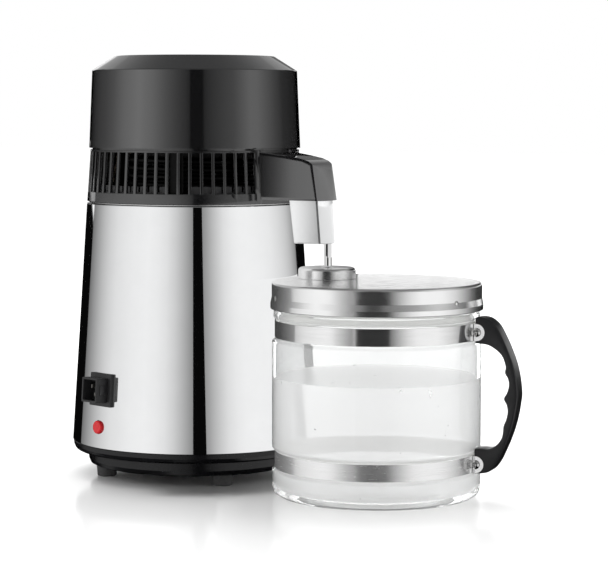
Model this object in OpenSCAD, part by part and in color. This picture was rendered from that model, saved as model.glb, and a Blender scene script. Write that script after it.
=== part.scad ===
// Countertop water distiller: boiler body, lift-off fan head with spout, and collecting jug.
// Millimetres, +Z up, +X from the boiler towards the jug.

/* [Boiler body] */
// Outer radius of the steel shell at its lower edge
shell_rb = 115; // [113:0.5:117]
// Outer radius of the steel shell at its top
shell_rt = 100.7; // [100.5:0.1:101.5]
// Height of the shell's lower edge above the table
shell_z0 = 32.6; // [32:0.1:33]
// Height of the shell's upper edge above the table
shell_z1 = 254; // [253.5:0.1:254]
// Sheet thickness of the shell and the pot
sheet = 0.8; // [0.6:0.1:0.9]
// Inner radius of the boiler pot
pot_r = 90; // [86:0.5:90]
// Compass angle of the power inlet
inlet_ang = -99.2; // [-105:0.1:-90]
// Height of the power inlet's middle above the table
inlet_z = 86.3; // [84:0.1:95]
// Height of the reset button's middle above the table
button_z = 51.9; // [48:0.1:54]

/* [Head] */
// Number of slot pitches around the vent ring
vents = 59; // [50:1:66]
// Width of one vent slot
slot_w = 7.2; // [5:0.1:7.6]
// Turn of the first rib from the spout's axis
rib_phase = 2.4; // [-3:0.1:3]
// Radius of the cover's flat top
plateau_r = 73.5; // [68:0.5:78]
// Height of the head's flat top above the table
top_z = 389.8; // [388:0.1:392]
// Number of fan blades
blades = 7; // [5:1:9]
// Outer radius of the condenser tube
tube_r = 3.2; // [2.8:0.1:3.4]

/* [Spout] */
// Distance from the boiler's axis to the outlet pipe
pipe_x = 155.2; // [152:0.1:155.2]
// Outer radius of the outlet pipe
pipe_r = 3.6; // [3:0.1:3.6]
// Height of the pipe's lower end above the table
pipe_z = 200.5; // [200.2:0.1:204]

/* [Jug] */
// Distance from the boiler's axis to the jug's axis
jug_d = 209.3; // [209:0.1:214]
// Largest outer radius of the glass
glass_r = 92.3; // [92:0.1:92.4]
// Compass angle of the handle, seen from the jug's axis
handle_ang = 17.3; // [0:0.1:40]
// Width of the handle
handle_w = 18.6; // [17.8:0.1:22]
// Radius of the inlet cap on the lid
cap_r = 25.8; // [22:0.1:28]
// Distance from the boiler's axis to the inlet cap's axis
cap_x = 154.4; // [152:0.1:156]

/* [Hidden] */
$fn = 64;
unit_x = -111.2;
unit_y = 6.2;
slope = atan((shell_rb - shell_rt) / (shell_z1 - shell_z0));
pitch = 360 / vents;
foot_ang = -33.4;
button_ang = inlet_ang - 1.4;
post_ang = 14.2;
leg_angs = [60, 180, 300];
boss_angs = [30, 150, 270];
ear_x = 93.4;
band_z = [[140.6, 155.7], [25.2, 40.2]];

// ---------- helpers ----------
function rs(z) = shell_rb - (z - shell_z0) * (shell_rb - shell_rt) / (shell_z1 - shell_z0);
function polar(a, r, z) = [r * cos(a), r * sin(a), z];
function unit3(v) = v / norm(v);
// cubic curve through four control points
function bez(p, t) = pow(1 - t, 3) * p[0] + 3 * t * pow(1 - t, 2) * p[1] + 3 * t * t * (1 - t) * p[2] + pow(t, 3) * p[3];
// smooth curve through a list of points
function clampi(i, n) = max(0, min(n, i));
function cat(p, i, t) = let(n = len(p) - 1, a = p[clampi(i - 1, n)], b = p[i], c = p[clampi(i + 1, n)], d = p[clampi(i + 2, n)])
    0.5 * (2 * b + (c - a) * t + (2 * a - 5 * b + 4 * c - d) * t * t + (3 * b - a - 3 * c + d) * t * t * t);
function smooth(p, m) = concat([for (i = [0:len(p) - 2]) for (k = [0:m - 1]) cat(p, i, k / m)], [p[len(p) - 1]]);

module at_unit() translate([unit_x, unit_y, 0]) children();
module at_jug() translate([unit_x + jug_d, unit_y, 0]) children();
module ring(r0, r1, z0, z1) rotate_extrude() translate([r0, z0]) square([r1 - r0, z1 - z0]);
module spun(pts) rotate_extrude() polygon(pts);
// local frame on the shell: x outwards, z up the slope
module on_shell(a, z) rotate([0, 0, a]) translate([rs(z), 0, z]) rotate([0, -slope, 0]) children();
module along_x(r, x0, x1) translate([x0, 0, 0]) rotate([0, 90, 0]) cylinder(r = r, h = x1 - x0);
module block(x, y, z) translate([x[0], y[0], z[0]]) cube([x[1] - x[0], y[1] - y[0], z[1] - z[0]]);
// insulated lead: round rod along a smooth path that never runs along ref
module wire(c, r, ref = [0.36, 0.8, 0.48], n = 8) {
    p = smooth(c, 3);
    m = len(p);
    pts = [for (i = [0:m - 1])
        let(t = unit3(p[min(i + 1, m - 1)] - p[max(i - 1, 0)]), u = unit3(cross(t, ref)), v = cross(u, t))
        for (k = [0:n - 1]) p[i] + r * cos(360 * k / n) * u + r * sin(360 * k / n) * v];
    faces = concat(
        [for (i = [0:m - 2]) for (k = [0:n - 1]) let(a = i * n + k, b = i * n + (k + 1) % n) each [[a, a + n, b + n], [a, b + n, b]]],
        [[for (k = [0:n - 1]) k]], [[for (k = [n - 1:-1:0]) (m - 1) * n + k]]);
    polyhedron(points = pts, faces = faces);
}
// pan head screw, head upwards, seat at z = 0
module pan_screw(r, l, hr, hh) {
    difference() {
        union() {
            translate([0, 0, -l]) cylinder(r = r, h = l + 0.2);
            spun([[0, 0], [hr, 0], [hr, hh * 0.55], [hr * 0.78, hh * 0.9], [hr * 0.4, hh], [0, hh]]);
        }
        for (a = [0, 90]) rotate([0, 0, a]) block([-hr * 0.55, hr * 0.55], [-hr * 0.12, hr * 0.12], [hh * 0.45, hh * 2]);
    }
}
// hollow tube swept along a path that never runs straight up
module tube(p, ro, ri, n) {
    m = len(p);
    pts = [for (i = [0:m - 1])
        let(t = unit3(p[min(i + 1, m - 1)] - p[max(i - 1, 0)]), u = unit3(cross(t, [0, 0, 1])), v = cross(u, t))
        for (q = [ro, ri]) for (k = [0:n - 1]) p[i] + q * cos(360 * k / n) * u + q * sin(360 * k / n) * v];
    s = 2 * n;
    faces = concat(
        [for (i = [0:m - 2]) for (k = [0:n - 1]) let(a = i * s + k, b = i * s + (k + 1) % n) each [[a, a + s, b + s], [a, b + s, b]]],
        [for (i = [0:m - 2]) for (k = [0:n - 1]) let(a = i * s + n + k, b = i * s + n + (k + 1) % n) each [[a, b + s, a + s], [a, b, b + s]]],
        [for (k = [0:n - 1]) let(k2 = (k + 1) % n) each [[k, k2, n + k2], [k, n + k2, n + k]]],
        [for (k = [0:n - 1]) let(k2 = (k + 1) % n, e = (m - 1) * s) each [[e + k, e + n + k2, e + k2], [e + k, e + n + k, e + n + k2]]]);
    polyhedron(points = pts, faces = faces);
}
// plan outline of the spout: tapered sides and a slightly bowed front
function plan(se, we, sr, tap, bow) = concat([[sr, -(we + (se - sr) * tap)]],
    [for (i = [0:8]) let(t = -1 + i / 4) [se + bow * (1 - t * t), we * t]], [[sr, we + (se - sr) * tap]]);
module slab(z, pts) translate([0, 0, z]) linear_extrude(0.02) polygon(pts);

// ---------- boiler body ----------
module shell() color([0.8, 0.81, 0.82]) difference() {
    spun([[shell_rb, shell_z0], [shell_rt, shell_z1], [95, shell_z1], [95, shell_z1 - sheet],
        [shell_rt - sheet, shell_z1 - sheet], [shell_rb - sheet, shell_z0 + sheet], [108, shell_z0 + sheet], [108, shell_z0]]);
    on_shell(inlet_ang, inlet_z) block([-12, 12], [-12.2, 12.2], [-12.7, 12.7]);
    on_shell(button_ang, button_z) along_x(6.4, -12, 12);
    for (y = [-4, 4]) translate([-96.1, y, 250]) cylinder(r = 1.6, h = 6);
}

module boiler_pot() color([0.78, 0.78, 0.78]) ring(pot_r, pot_r + sheet, 64, 254.05);

// flange that hangs the pot on the shell's lip
module pot_rim() color([0.77, 0.77, 0.77]) difference() {
    ring(pot_r, 98.6, 254.1, 254.85);
    for (y = [-4, 4]) translate([-96.1, y, 250]) cylinder(r = 1.6, h = 6);
}

module pot_floor() color([0.76, 0.76, 0.76]) translate([0, 0, 64]) cylinder(r = pot_r - 0.05, h = sheet);

module heater_plate() color([0.62, 0.63, 0.65]) difference() {
    ring(20, 70, 54, 63.95);
    rotate_extrude() translate([50, 54]) circle(r = 4.1);
    rotate([0, 0, 40]) translate([36, 0, 50]) cylinder(r = 2, h = 9);
}

module heating_element() color([0.35, 0.35, 0.36]) {
    rotate([0, 0, -70]) rotate_extrude(angle = 300) translate([50, 54]) circle(r = 4);
    for (a = [-70, 230]) translate(polar(a, 50, 40)) cylinder(r = 2, h = 14);
}

module thermostat() color([0.2, 0.2, 0.2]) {
    translate([0, 0, 54]) cylinder(r = 8, h = 8);
    translate([0, 0, 62]) cylinder(r = 12, h = 1.9);
    for (a = [-100, 80]) rotate([0, 0, a]) block([3, 3.8], [-2.4, 2.4], [46, 54.2]);
}

module thermal_fuse() color([0.85, 0.82, 0.75]) rotate([0, 0, 40]) {
    translate([36, 0, 51]) cylinder(r = 1.8, h = 7.5);
    translate([36, 0, 50.2]) cylinder(r = 4, h = 3.6);
}

module base_ring() color([0.06, 0.06, 0.065]) difference() {
    union() {
        spun([[114.4, 32.5], [114.1, 28], [112.8, 24.8], [110.4, 23.6], [76, 23.6], [76, 26.5], [104, 26.5], [104, 38], [107.4, 38], [107.4, 32.5]]);
        for (k = [0:3]) translate(polar(foot_ang + 90 * k, 86, 12.7)) cylinder(r = 4.6, h = 11.2);
    }
    for (k = [0:3]) translate(polar(foot_ang + 90 * k, 86, 10)) cylinder(r = 1.7, h = 20);
}

module base_pan() color([0.05, 0.05, 0.055]) difference() {
    spun([[100.6, 23.5], [100.2, 15], [98.8, 11.4], [95.5, 10], [0, 10], [0, 12.5], [94, 12.5], [97.8, 15.6], [97.8, 23.5]]);
    for (k = [0:3]) translate(polar(foot_ang + 90 * k, 86, 8)) cylinder(r = 2.2, h = 12);
    for (k = [0:11]) rotate([0, 0, 30 * k + 15]) block([30, 62], [-2, 2], [8, 14]);
}

module feet() color([0.1, 0.1, 0.1]) for (k = [0:3]) translate(polar(foot_ang + 90 * k, 86, 0))
    spun([[4.6, 0], [8.2, 0], [8.8, 0.7], [9.6, 9.9], [2.2, 9.9], [2.2, 5.5], [4.6, 5.5]]);

module foot_screws() color([0.7, 0.7, 0.7]) for (k = [0:3]) translate(polar(foot_ang + 90 * k, 86, 5.45))
    rotate([180, 0, 0]) pan_screw(1.65, 19, 3.6, 2.4);

module power_inlet() color([0.07, 0.07, 0.07]) on_shell(inlet_ang, inlet_z) difference() {
    union() {
        difference() {
            block([-2.5, 2.3], [-14.9, 14.9], [-15, 15]);
            rotate([0, slope, 0]) translate([-rs(inlet_z), 0, -inlet_z]) spun([[0, shell_z0], [shell_rb + 0.1, shell_z0], [shell_rt + 0.1, shell_z1], [0, shell_z1]]);
        }
        block([-13, 2], [-11.9, 11.9], [-12.4, 12.4]);
        block([2, 15.1], [-10.6, 10.6], [-11.2, 11.2]);
        block([4.6, 11.4], [-11.3, 11.3], [-4.8, 4.8]);
    }
    block([2, 20], [-8.7, 8.7], [-9.2, 9.2]);
    for (p = [[-5.2, 3], [5.2, 3], [0, -4.2]]) block([-14, 4], [p[0] - 1.1, p[0] + 1.1], [p[1] - 2.1, p[1] + 2.1]);
}

module inlet_pins() color([0.72, 0.55, 0.25]) on_shell(inlet_ang, inlet_z)
    for (p = [[-5.2, 3], [5.2, 3], [0, -4.2]]) block([-15.8, 8.4], [p[0] - 1, p[0] + 1], [p[1] - 2, p[1] + 2]);

module reset_switch() color([0.12, 0.12, 0.12]) on_shell(button_ang, button_z) {
    difference() {
        along_x(8.2, -16, -1.6);
        along_x(6.08, -13, 0);
    }
    for (z = [-3.5, 3.5]) block([-19.6, -15.8], [-2.2, 2.2], [z - 0.4, z + 0.4]);
}

module reset_spring() color([0.75, 0.75, 0.75]) on_shell(button_ang, button_z)
    rotate([0, 90, 0]) translate([0, 0, -12.55])
        tube([for (i = [0:60]) [3.4 * cos(30 * i), 3.4 * sin(30 * i), 10.6 * i / 60]], 0.4, 0.1, 6);

module reset_button() color([0.82, 0.05, 0.06]) on_shell(button_ang, button_z) difference() {
    rotate([0, 90, 0]) spun([[0, -6.8], [6, -6.8], [6, 1.6], [5.4, 2.5], [3.8, 2.9], [0, 3]]);
    along_x(4.6, -8, -1);
}

module lead_wires() color([0.75, 0.7, 0.55]) {
    wire([polar(-102, 94.4, 89.2), polar(-107.4, 94.8, 70), polar(-109, 94.8, 50), polar(-118, 78, 42), polar(230, 50, 39)], 0.9);
    wire([polar(-96.4, 94.4, 89.2), polar(-94, 94.8, 66), polar(-99.7, 93.1, 55.3)], 0.9);
    wire([polar(-101.3, 93.1, 48.3), polar(-101, 78, 40), polar(-100, 14, 40), polar(-100, 3.4, 44.9)], 0.9);
    wire([polar(80, 3.4, 44.9), polar(20, 22, 38), polar(-70, 50, 39)], 0.9);
    wire([polar(-99.2, 94.4, 81.2), polar(-112.4, 97.5, 74.4), polar(-130, 98, 72), polar(-150, 98, 72), polar(-168, 97.5, 80), polar(-178, 96, 160), polar(-180, 95.5, 237.9)], 0.9);
}

module fan_socket() color([0.1, 0.1, 0.1]) difference() {
    block([-98.6, -93], [-8, 8], [239, 253.1]);
    for (y = [-4, 4]) translate([-96.1, y, 244]) cylinder(r = 1.35, h = 12);
}

// ---------- head ----------
module top_cover() color([0.03, 0.03, 0.032]) difference() {
    union() {
        spun([[98.4, 304.6], [95.3, 375.2], [94.5, 377], [plateau_r + 1, top_z - 0.6], [plateau_r - 1.5, top_z - 0.2], [0, top_z],
            [0, top_z - 2.5], [plateau_r - 2.2, top_z - 2.7], [92, 375], [92.8, 373.4], [95.9, 304.6]]);
        for (a = boss_angs) rotate([0, 0, a]) {
            translate([87, 0, 309.3]) cylinder(r = 4.5, h = 24);
            block([87, 96.5], [-1.2, 1.2], [309.3, 333]);
        }
    }
    for (a = boss_angs) rotate([0, 0, a]) translate([87, 0, 305]) cylinder(r = 1.55, h = 22);
}

module cover_screws() color([0.7, 0.7, 0.7]) for (a = boss_angs) rotate([0, 0, a])
    translate([87, 0, 306.4]) rotate([180, 0, 0]) pan_screw(1.5, 16, 3.4, 2.2);

module vent_ring() color([0.045, 0.045, 0.05]) difference() {
    union() {
        spun([[100.5, 255.2], [97.2, 302.4], [95.4, 302.4], [95.4, 309], [91.9, 309], [91.9, 302.4], [94.1, 302.4], [96.8, 263], [85, 263], [85, 260.6], [97, 260.6], [97.4, 255.2]]);
        for (a = boss_angs) rotate([0, 0, a]) block([82, 93], [-5.5, 5.5], [306.5, 309.2]);
        difference() {
            for (a = [-post_ang, post_ang]) rotate([0, 0, a]) translate([97.6, 0, 256]) rotate([0, -3.9, 0]) cylinder(r = 3.6, h = 47);
            translate([0, 0, 250]) cylinder(r = 96.7, h = 12);
        }
    }
    // slots between the ribs on both sides, none behind the spout or at the back
    for (k = [0:vents - 1]) let(a = rib_phase + pitch * (k + 0.5))
        if ((a > 18 && a < 145) || (a > 215 && a < 343.2)) rotate([0, 0, a]) block([90, 106], [-slot_w / 2, slot_w / 2], [264.8, 302.3]);
    block([90, 108], [-11.5, 11.5], [264, 288]);
    for (a = boss_angs) rotate([0, 0, a]) translate([87, 0, 300]) cylinder(r = 1.8, h = 12);
    for (a = leg_angs) rotate([0, 0, a]) {
        block([90, 93.9], [-6.6, 6.6], [302, 310]);
        translate([88.5, 0, 258]) cylinder(r = 1.7, h = 8);
    }
    for (y = [-4.6, 4.6]) translate([-95.6, y, 258]) cylinder(r = 1.3, h = 8);
}

module guard_ring() color([0.16, 0.16, 0.165]) difference() {
    ring(90.4, 92.2, 263.05, 271);
    for (k = [0:vents - 1]) rotate([0, 0, rib_phase + pitch * k]) block([86, 96], [-1.5, 1.5], [265.4, 273]);
    for (a = leg_angs) rotate([0, 0, a]) block([86, 96], [-11, 11], [262, 273]);
    block([86, 96], [-13, 13], [262, 273]);
}

module steam_dome() color([0.8, 0.8, 0.8]) difference() {
    spun([[96.3, 259.4], [96.3, 260.4], [84, 260.4], [60, 265.4], [16, 273.5], [6.1, 273.5], [6.1, 272.6], [15.8, 272.6], [59.8, 264.4], [83.8, 259.4]]);
    for (a = leg_angs) rotate([0, 0, a]) translate([88.5, 0, 256]) cylinder(r = 1.7, h = 8);
    block([-100, -94.7], [-8, 8], [250, 270]);
}

module seal_ring() color([0.85, 0.85, 0.82]) spun([[91.9, 255.6], [92.6, 255.2], [93.9, 255.2], [94.5, 255.6], [94.5, 259.3], [91.9, 259.3]]);

module dome_screws() color([0.7, 0.7, 0.7]) for (a = leg_angs) rotate([0, 0, a]) translate([88.5, 0, 264.35]) pan_screw(1.6, 7.6, 3.1, 2.2);

module dome_nuts() color([0.7, 0.7, 0.7]) for (a = leg_angs) rotate([0, 0, a]) translate([88.5, 0, 256.9]) difference() {
    cylinder(r = 3.1, h = 2.4, $fn = 6);
    translate([0, 0, -1]) cylinder(r = 1.62, h = 5, $fn = 32);
}

module steam_riser() color([0.78, 0.78, 0.78]) difference() {
    union() {
        translate([0, 0, 270]) cylinder(r = 6, h = 33.5);
        translate([0, 0, 273.6]) cylinder(r = 10, h = 1.4);
    }
    translate([0, 0, 269]) cylinder(r = 4.8, h = 33);
    translate([0, 0, 298]) along_x(2.6, 0, 9);
}

coil_path = concat(
    [for (i = [0:9]) bez([[6.15, 0, 298], [34, 4, 298], [53.2, 46.7, 298], [21.2, 58.26, 298]], i / 10)],
    [for (i = [0:73]) let(a = 70 + 1310 * i / 73) [62 * cos(a), 62 * sin(a), 298 - 27.5 * i / 73]],
    [for (i = [1:9]) bez([[31, -53.7, 270.5], [58.7, -37.7, 270.4], [72, 0, 270], [106, 0, 269.5]], i / 9)],
    [[124, 0, 269], [140, 0, 268.5]]);
module condenser_coil() color([0.75, 0.75, 0.74]) tube(coil_path, tube_r, tube_r - 0.7, 8);

// dark sleeve inside the coil that leads the fan's air over the tube
module air_drum() color([0.05, 0.05, 0.05]) difference() {
    spun([[53.6, 266.65], [55.2, 266.35], [55.2, 314], [53.6, 314]]);
    rotate([0, 0, 48]) block([45, 65], [-14, 14], [294.2, 301.8]);
}

module motor_bracket() color([0.65, 0.65, 0.66]) difference() {
    union() {
        for (a = leg_angs) rotate([0, 0, a]) {
            block([92.4, 93.6], [-6, 6], [263.1, 342.2]);
            block([85.4, 93], [-6, 6], [263.1, 264.3]);
            block([27, 93], [-6, 6], [341, 342.2]);
        }
        ring(11, 30, 341, 342.2);
    }
    for (a = leg_angs) rotate([0, 0, a]) {
        translate([88.5, 0, 260]) cylinder(r = 1.7, h = 8);
        translate([20, 0, 338]) cylinder(r = 1.7, h = 8);
    }
}

module fan_motor() color([0.25, 0.25, 0.27]) difference() {
    spun([[2.05, 338], [9, 338], [10, 339], [10, 342.3], [26, 342.3], [27, 344], [27, 362], [24, 366], [10, 368], [0, 368], [0, 364], [2.05, 364]]);
    for (a = leg_angs) rotate([0, 0, a]) translate([20, 0, 340]) cylinder(r = 1.5, h = 10);
}

module motor_screws() color([0.7, 0.7, 0.7]) for (a = leg_angs) rotate([0, 0, a])
    translate([20, 0, 340.9]) rotate([180, 0, 0]) pan_screw(1.45, 8, 2.8, 1.8);

module fan_leads() color([0.6, 0.2, 0.15])
    for (y = [-1, 1]) wire([[-26.3, y * 8, 352], [-36, y * 9, 345], [-88, y * 9, 345], [-90.6, y * 9, 338], [-89.3, y * 9, 312], [-89.3, y * 9, 296], [-94.2, y * 9, 276], [-95.4, y * 5.4, 264.4], [-95.6, y * 4.6, 260.9]], 0.9);

module fan_plug() color([0.1, 0.1, 0.1]) {
    block([-96.4, -95], [-7, 7], [255.6, 260.5]);
    for (y = [-4, 4]) translate([-96.1, y, 246]) cylinder(r = 1, h = 10);
}

module motor_shaft() color([0.7, 0.7, 0.72]) translate([0, 0, 318.6]) cylinder(r = 2, h = 45);

module fan_rotor() color([0.3, 0.31, 0.33]) difference() {
    union() {
        spun([[0, 318], [12, 318], [14, 320], [14, 333], [0, 333]]);
        for (i = [0:blades - 1]) rotate([0, 0, i * 360 / blades]) translate([10, 0, 326]) rotate([32, 0, 0]) block([0, 62], [-12, 12], [-0.8, 0.8]);
    }
    translate([0, 0, 318.5]) cylinder(r = 2, h = 20);
}

// ---------- spout ----------
module side_profile(dx, dz) translate([dx, 0, dz]) rotate([90, 0, 0]) linear_extrude(90, center = true)
    polygon([[80, 240], [175, 240], [165, 256], [158, 268], [155.4, 280], [153.4, 288.2], [151.4, 291.4], [148.8, 293.2], [145.4, 294.5], [137, 296.6], [120, 299.2], [105, 301], [92, 302.6], [80, 304]]);

module spout_hood() color([0.045, 0.045, 0.05]) difference() {
    union() {
        difference() {
            intersection() {
                hull() { slab(259, plan(154, 15, 88, 0.168, 4)); slab(306, plan(146.1, 14.8, 88, 0.168, 4)); }
                side_profile(0, 0);
            }
            intersection() {
                hull() { slab(250, plan(154, 13.6, 80, 0.168, 4)); slab(306, plan(144.6, 13.3, 80, 0.168, 4)); }
                side_profile(-1.2, -2);
            }
        }
        intersection() {
            hull() { slab(259, plan(154, 14.8, 88, 0.168, 4)); slab(261, plan(153.7, 14.8, 88, 0.168, 4)); }
            block([85, 122.4], [-40, 40], [258, 262]);
        }
    }
    spun([[0, 250], [100.95, 250], [97.3, 302.4], [96.9, 312], [0, 312]]);
    for (a = [-post_ang, post_ang]) rotate([0, 0, a]) translate([97.6, 0, 256]) rotate([0, -3.9, 0]) translate([0, 0, -4]) cylinder(r = 3.65, h = 55);
}

module nozzle_shroud() color([0.8, 0.81, 0.82]) difference() {
    hull() { slab(220.4, plan(154.7, 11.3, 128.6, 0.168, 5)); slab(262, plan(151.2, 12.2, 123.6, 0.168, 4)); }
    hull() { slab(222.4, plan(153.3, 10.1, 129.8, 0.168, 4.6)); slab(264, plan(149.8, 11, 124.8, 0.168, 4)); }
    translate([pipe_x, 0, 215]) cylinder(r = pipe_r + 0.02, h = 9);
}

module charcoal_pod() color([0.9, 0.9, 0.88]) translate([140.6, 0, 0])
    spun([[0, 222.6], [6.4, 222.6], [8, 224], [8.3, 228], [8.3, 246], [8, 250], [6.4, 251.6], [0, 251.6]]);

module outlet_pipe() color([0.85, 0.85, 0.86]) translate([pipe_x, 0, 0])
    spun([[pipe_r - 0.9, pipe_z], [pipe_r, pipe_z], [pipe_r, 222.3], [pipe_r - 0.9, 222.3]]);

// ---------- jug ----------
module glass_jar() color([0.85, 0.9, 0.92, 0.4])
    spun([[0, 3], [72, 3], [76, 0], [85, 0], [89.4, 2], [91.4, 6], [92, 10.5], [92, 22.4], [89.2, 24.4], [89.2, 41], [glass_r, 43.2], [glass_r, 137],
        [89.2, 139.4], [89.2, 157], [91, 158.4], [91, 162.6], [89.6, 164], [89.6, 183.4], [89, 184], [87, 184], [86.4, 183.4], [86.4, 157.5],
        [85.9, 155], [85.9, 140], [89, 136.4], [89, 44], [85.9, 41], [85.9, 25], [88.6, 21.5], [88.6, 12], [86, 7.5], [80, 5.6], [0, 6.4]]);

module ear(z0, z1, grow) rotate([90, 0, 0]) linear_extrude(0.8) union() {
    translate([89.05 - grow, z0 - grow]) square([ear_x - 89.05 + grow, z1 - z0 + 2 * grow]);
    translate([ear_x, (z0 + z1) / 2]) intersection() {
        circle(r = (z1 - z0) / 2 + grow);
        translate([-0.1, -50]) square([50, 100]);
    }
}
module band(z0, z1) rotate([0, 0, handle_ang]) difference() {
    union() {
        difference() {
            ring(89.4, 90, z0, z1);
            block([70, 110], [-8, 8], [0, 200]);
        }
        translate([0, 8.8, 0]) ear(z0, z1, 0);
        translate([0, -8, 0]) ear(z0, z1, 0);
    }
    translate([ear_x, 0, (z0 + z1) / 2]) rotate([90, 0, 0]) cylinder(r = 2.15, h = 40, center = true);
}
module upper_band() color([0.82, 0.82, 0.82]) band(band_z[0][0], band_z[0][1]);
module lower_band() color([0.82, 0.82, 0.82]) band(band_z[1][0], band_z[1][1]);

grip_out = [[90, 160], [96, 161.6], [104, 160], [111, 154.4], [117, 144], [122, 133], [126.2, 122], [129.2, 109.5], [130.8, 96], [130.2, 88],
    [128.2, 76], [125.4, 65], [121.8, 54.6], [117.4, 44.2], [112.6, 34.6], [106.4, 27.4], [98, 25.1], [90, 24.9]];
grip_in = [[90, 46.6], [98, 47], [106, 47.2], [112.6, 51.2], [116.8, 57.2], [118, 63], [118.4, 67.8], [120.7, 73.6], [121.9, 80.4], [120.9, 86.4], [118.5, 91.4],
    [121.3, 97], [122.8, 103.4], [121.9, 109], [119.3, 113.8], [119.8, 119.4], [117, 127.6], [112, 133], [104.8, 137.2], [98, 138.4], [90, 138.6]];
module handle() color([0.05, 0.05, 0.05]) rotate([0, 0, handle_ang]) difference() {
    rotate([90, 0, 0]) linear_extrude(handle_w, center = true) polygon(concat(smooth(grip_out, 3), smooth(grip_in, 3)));
    cylinder(r = 92.8, h = 200);
    for (b = band_z) {
        translate([0, 9.6, 0]) ear(b[0], b[1], 0.7);
        translate([0, 8.8, 0]) ear(b[0], b[1], 0.7);
        translate([0, -8, 0]) ear(b[0], b[1], 0.7);
        translate([0, -8.8, 0]) ear(b[0], b[1], 0.7);
        translate([ear_x, 0, (b[0] + b[1]) / 2]) rotate([90, 0, 0]) cylinder(r = 2.1, h = 40, center = true);
    }
}
module handle_screws() color([0.8, 0.8, 0.8]) rotate([0, 0, handle_ang]) for (b = band_z)
    translate([ear_x, -8.85, (b[0] + b[1]) / 2]) rotate([90, 0, 0]) pan_screw(2, 21.4, 4, 2.6);
module handle_nuts() color([0.75, 0.75, 0.75]) rotate([0, 0, handle_ang]) for (b = band_z)
    translate([ear_x, 8.85, (b[0] + b[1]) / 2]) rotate([-90, 0, 0]) difference() {
        cylinder(r = 4, h = 3.1, $fn = 6);
        translate([0, 0, -1]) cylinder(r = 2.02, h = 6, $fn = 32);
    }

rivet_angs = [-127.4, -7.4, 112.6];
module lid() color([0.8, 0.8, 0.8]) difference() {
    spun([[0, 189.5], [90.4, 189.5], [92, 188.9], [92.7, 187.2], [92.7, 173.2], [93.9, 172], [93.9, 166.6], [93.1, 165.6], [92.2, 165.6], [92.2, 171.5],
        [91.9, 172.6], [91.9, 187], [91.5, 188.3], [90.2, 188.7], [0, 188.7]]);
    translate([cap_x - jug_d, 0, 180]) cylinder(r = 10.1, h = 20);
    for (a = rivet_angs) rotate([0, 0, a]) translate([0, 0, 175.4]) along_x(1.3, 88, 96);
}
module lid_seal() color([0.9, 0.9, 0.88]) spun([[86.6, 184.4], [91.2, 184.4], [91.2, 188], [90.4, 188.6], [86.6, 188.6]]);
module inlet_cap() color([0.85, 0.85, 0.86]) translate([cap_x - jug_d, 0, 0])
    spun([[6, 199.5], [22.8, 199.5], [24.8, 198.9], [25.6, 197.8], [cap_r, 196.4], [cap_r, 189.55], [10, 189.55], [10, 184.6], [6, 184.6]]);
module lid_rivets() color([0.75, 0.75, 0.75]) for (a = rivet_angs) rotate([0, 0, a]) translate([0, 0, 175.4]) rotate([0, 90, 0])
    spun([[0, 90.3], [2, 90.3], [2, 91.8], [1.25, 91.8], [1.25, 92.75], [2.2, 92.75], [2.1, 93.2], [1.3, 93.7], [0, 93.85]]);

at_unit() shell();
at_unit() boiler_pot();
at_unit() pot_rim();
at_unit() pot_floor();
at_unit() heater_plate();
at_unit() heating_element();
at_unit() thermostat();
at_unit() thermal_fuse();
at_unit() base_ring();
at_unit() base_pan();
at_unit() feet();
at_unit() foot_screws();
at_unit() power_inlet();
at_unit() inlet_pins();
at_unit() reset_switch();
at_unit() reset_spring();
at_unit() reset_button();
at_unit() lead_wires();
at_unit() fan_socket();
at_unit() top_cover();
at_unit() cover_screws();
at_unit() vent_ring();
at_unit() guard_ring();
at_unit() steam_dome();
at_unit() seal_ring();
at_unit() dome_screws();
at_unit() dome_nuts();
at_unit() steam_riser();
at_unit() condenser_coil();
at_unit() air_drum();
at_unit() motor_bracket();
at_unit() fan_motor();
at_unit() motor_screws();
at_unit() fan_leads();
at_unit() fan_plug();
at_unit() motor_shaft();
at_unit() fan_rotor();
at_unit() spout_hood();
at_unit() nozzle_shroud();
at_unit() charcoal_pod();
at_unit() outlet_pipe();
at_jug() glass_jar();
at_jug() upper_band();
at_jug() lower_band();
at_jug() handle();
at_jug() handle_screws();
at_jug() handle_nuts();
at_jug() lid();
at_jug() lid_seal();
at_jug() inlet_cap();
at_jug() lid_rivets();
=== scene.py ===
import math

import bmesh
import bpy
from mathutils import Matrix, Vector


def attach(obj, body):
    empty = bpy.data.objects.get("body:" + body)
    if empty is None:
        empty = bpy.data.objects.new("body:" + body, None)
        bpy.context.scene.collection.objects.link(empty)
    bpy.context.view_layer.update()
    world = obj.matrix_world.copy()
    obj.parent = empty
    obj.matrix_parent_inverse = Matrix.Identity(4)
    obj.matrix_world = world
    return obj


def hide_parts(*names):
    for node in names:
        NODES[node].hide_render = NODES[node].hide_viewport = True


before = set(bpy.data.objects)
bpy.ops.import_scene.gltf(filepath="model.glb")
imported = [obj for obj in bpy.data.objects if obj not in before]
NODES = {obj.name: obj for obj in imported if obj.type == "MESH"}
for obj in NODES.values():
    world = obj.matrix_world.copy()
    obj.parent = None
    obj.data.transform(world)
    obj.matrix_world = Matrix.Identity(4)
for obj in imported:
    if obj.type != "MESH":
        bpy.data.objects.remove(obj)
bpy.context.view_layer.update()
scene = bpy.context.scene

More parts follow.
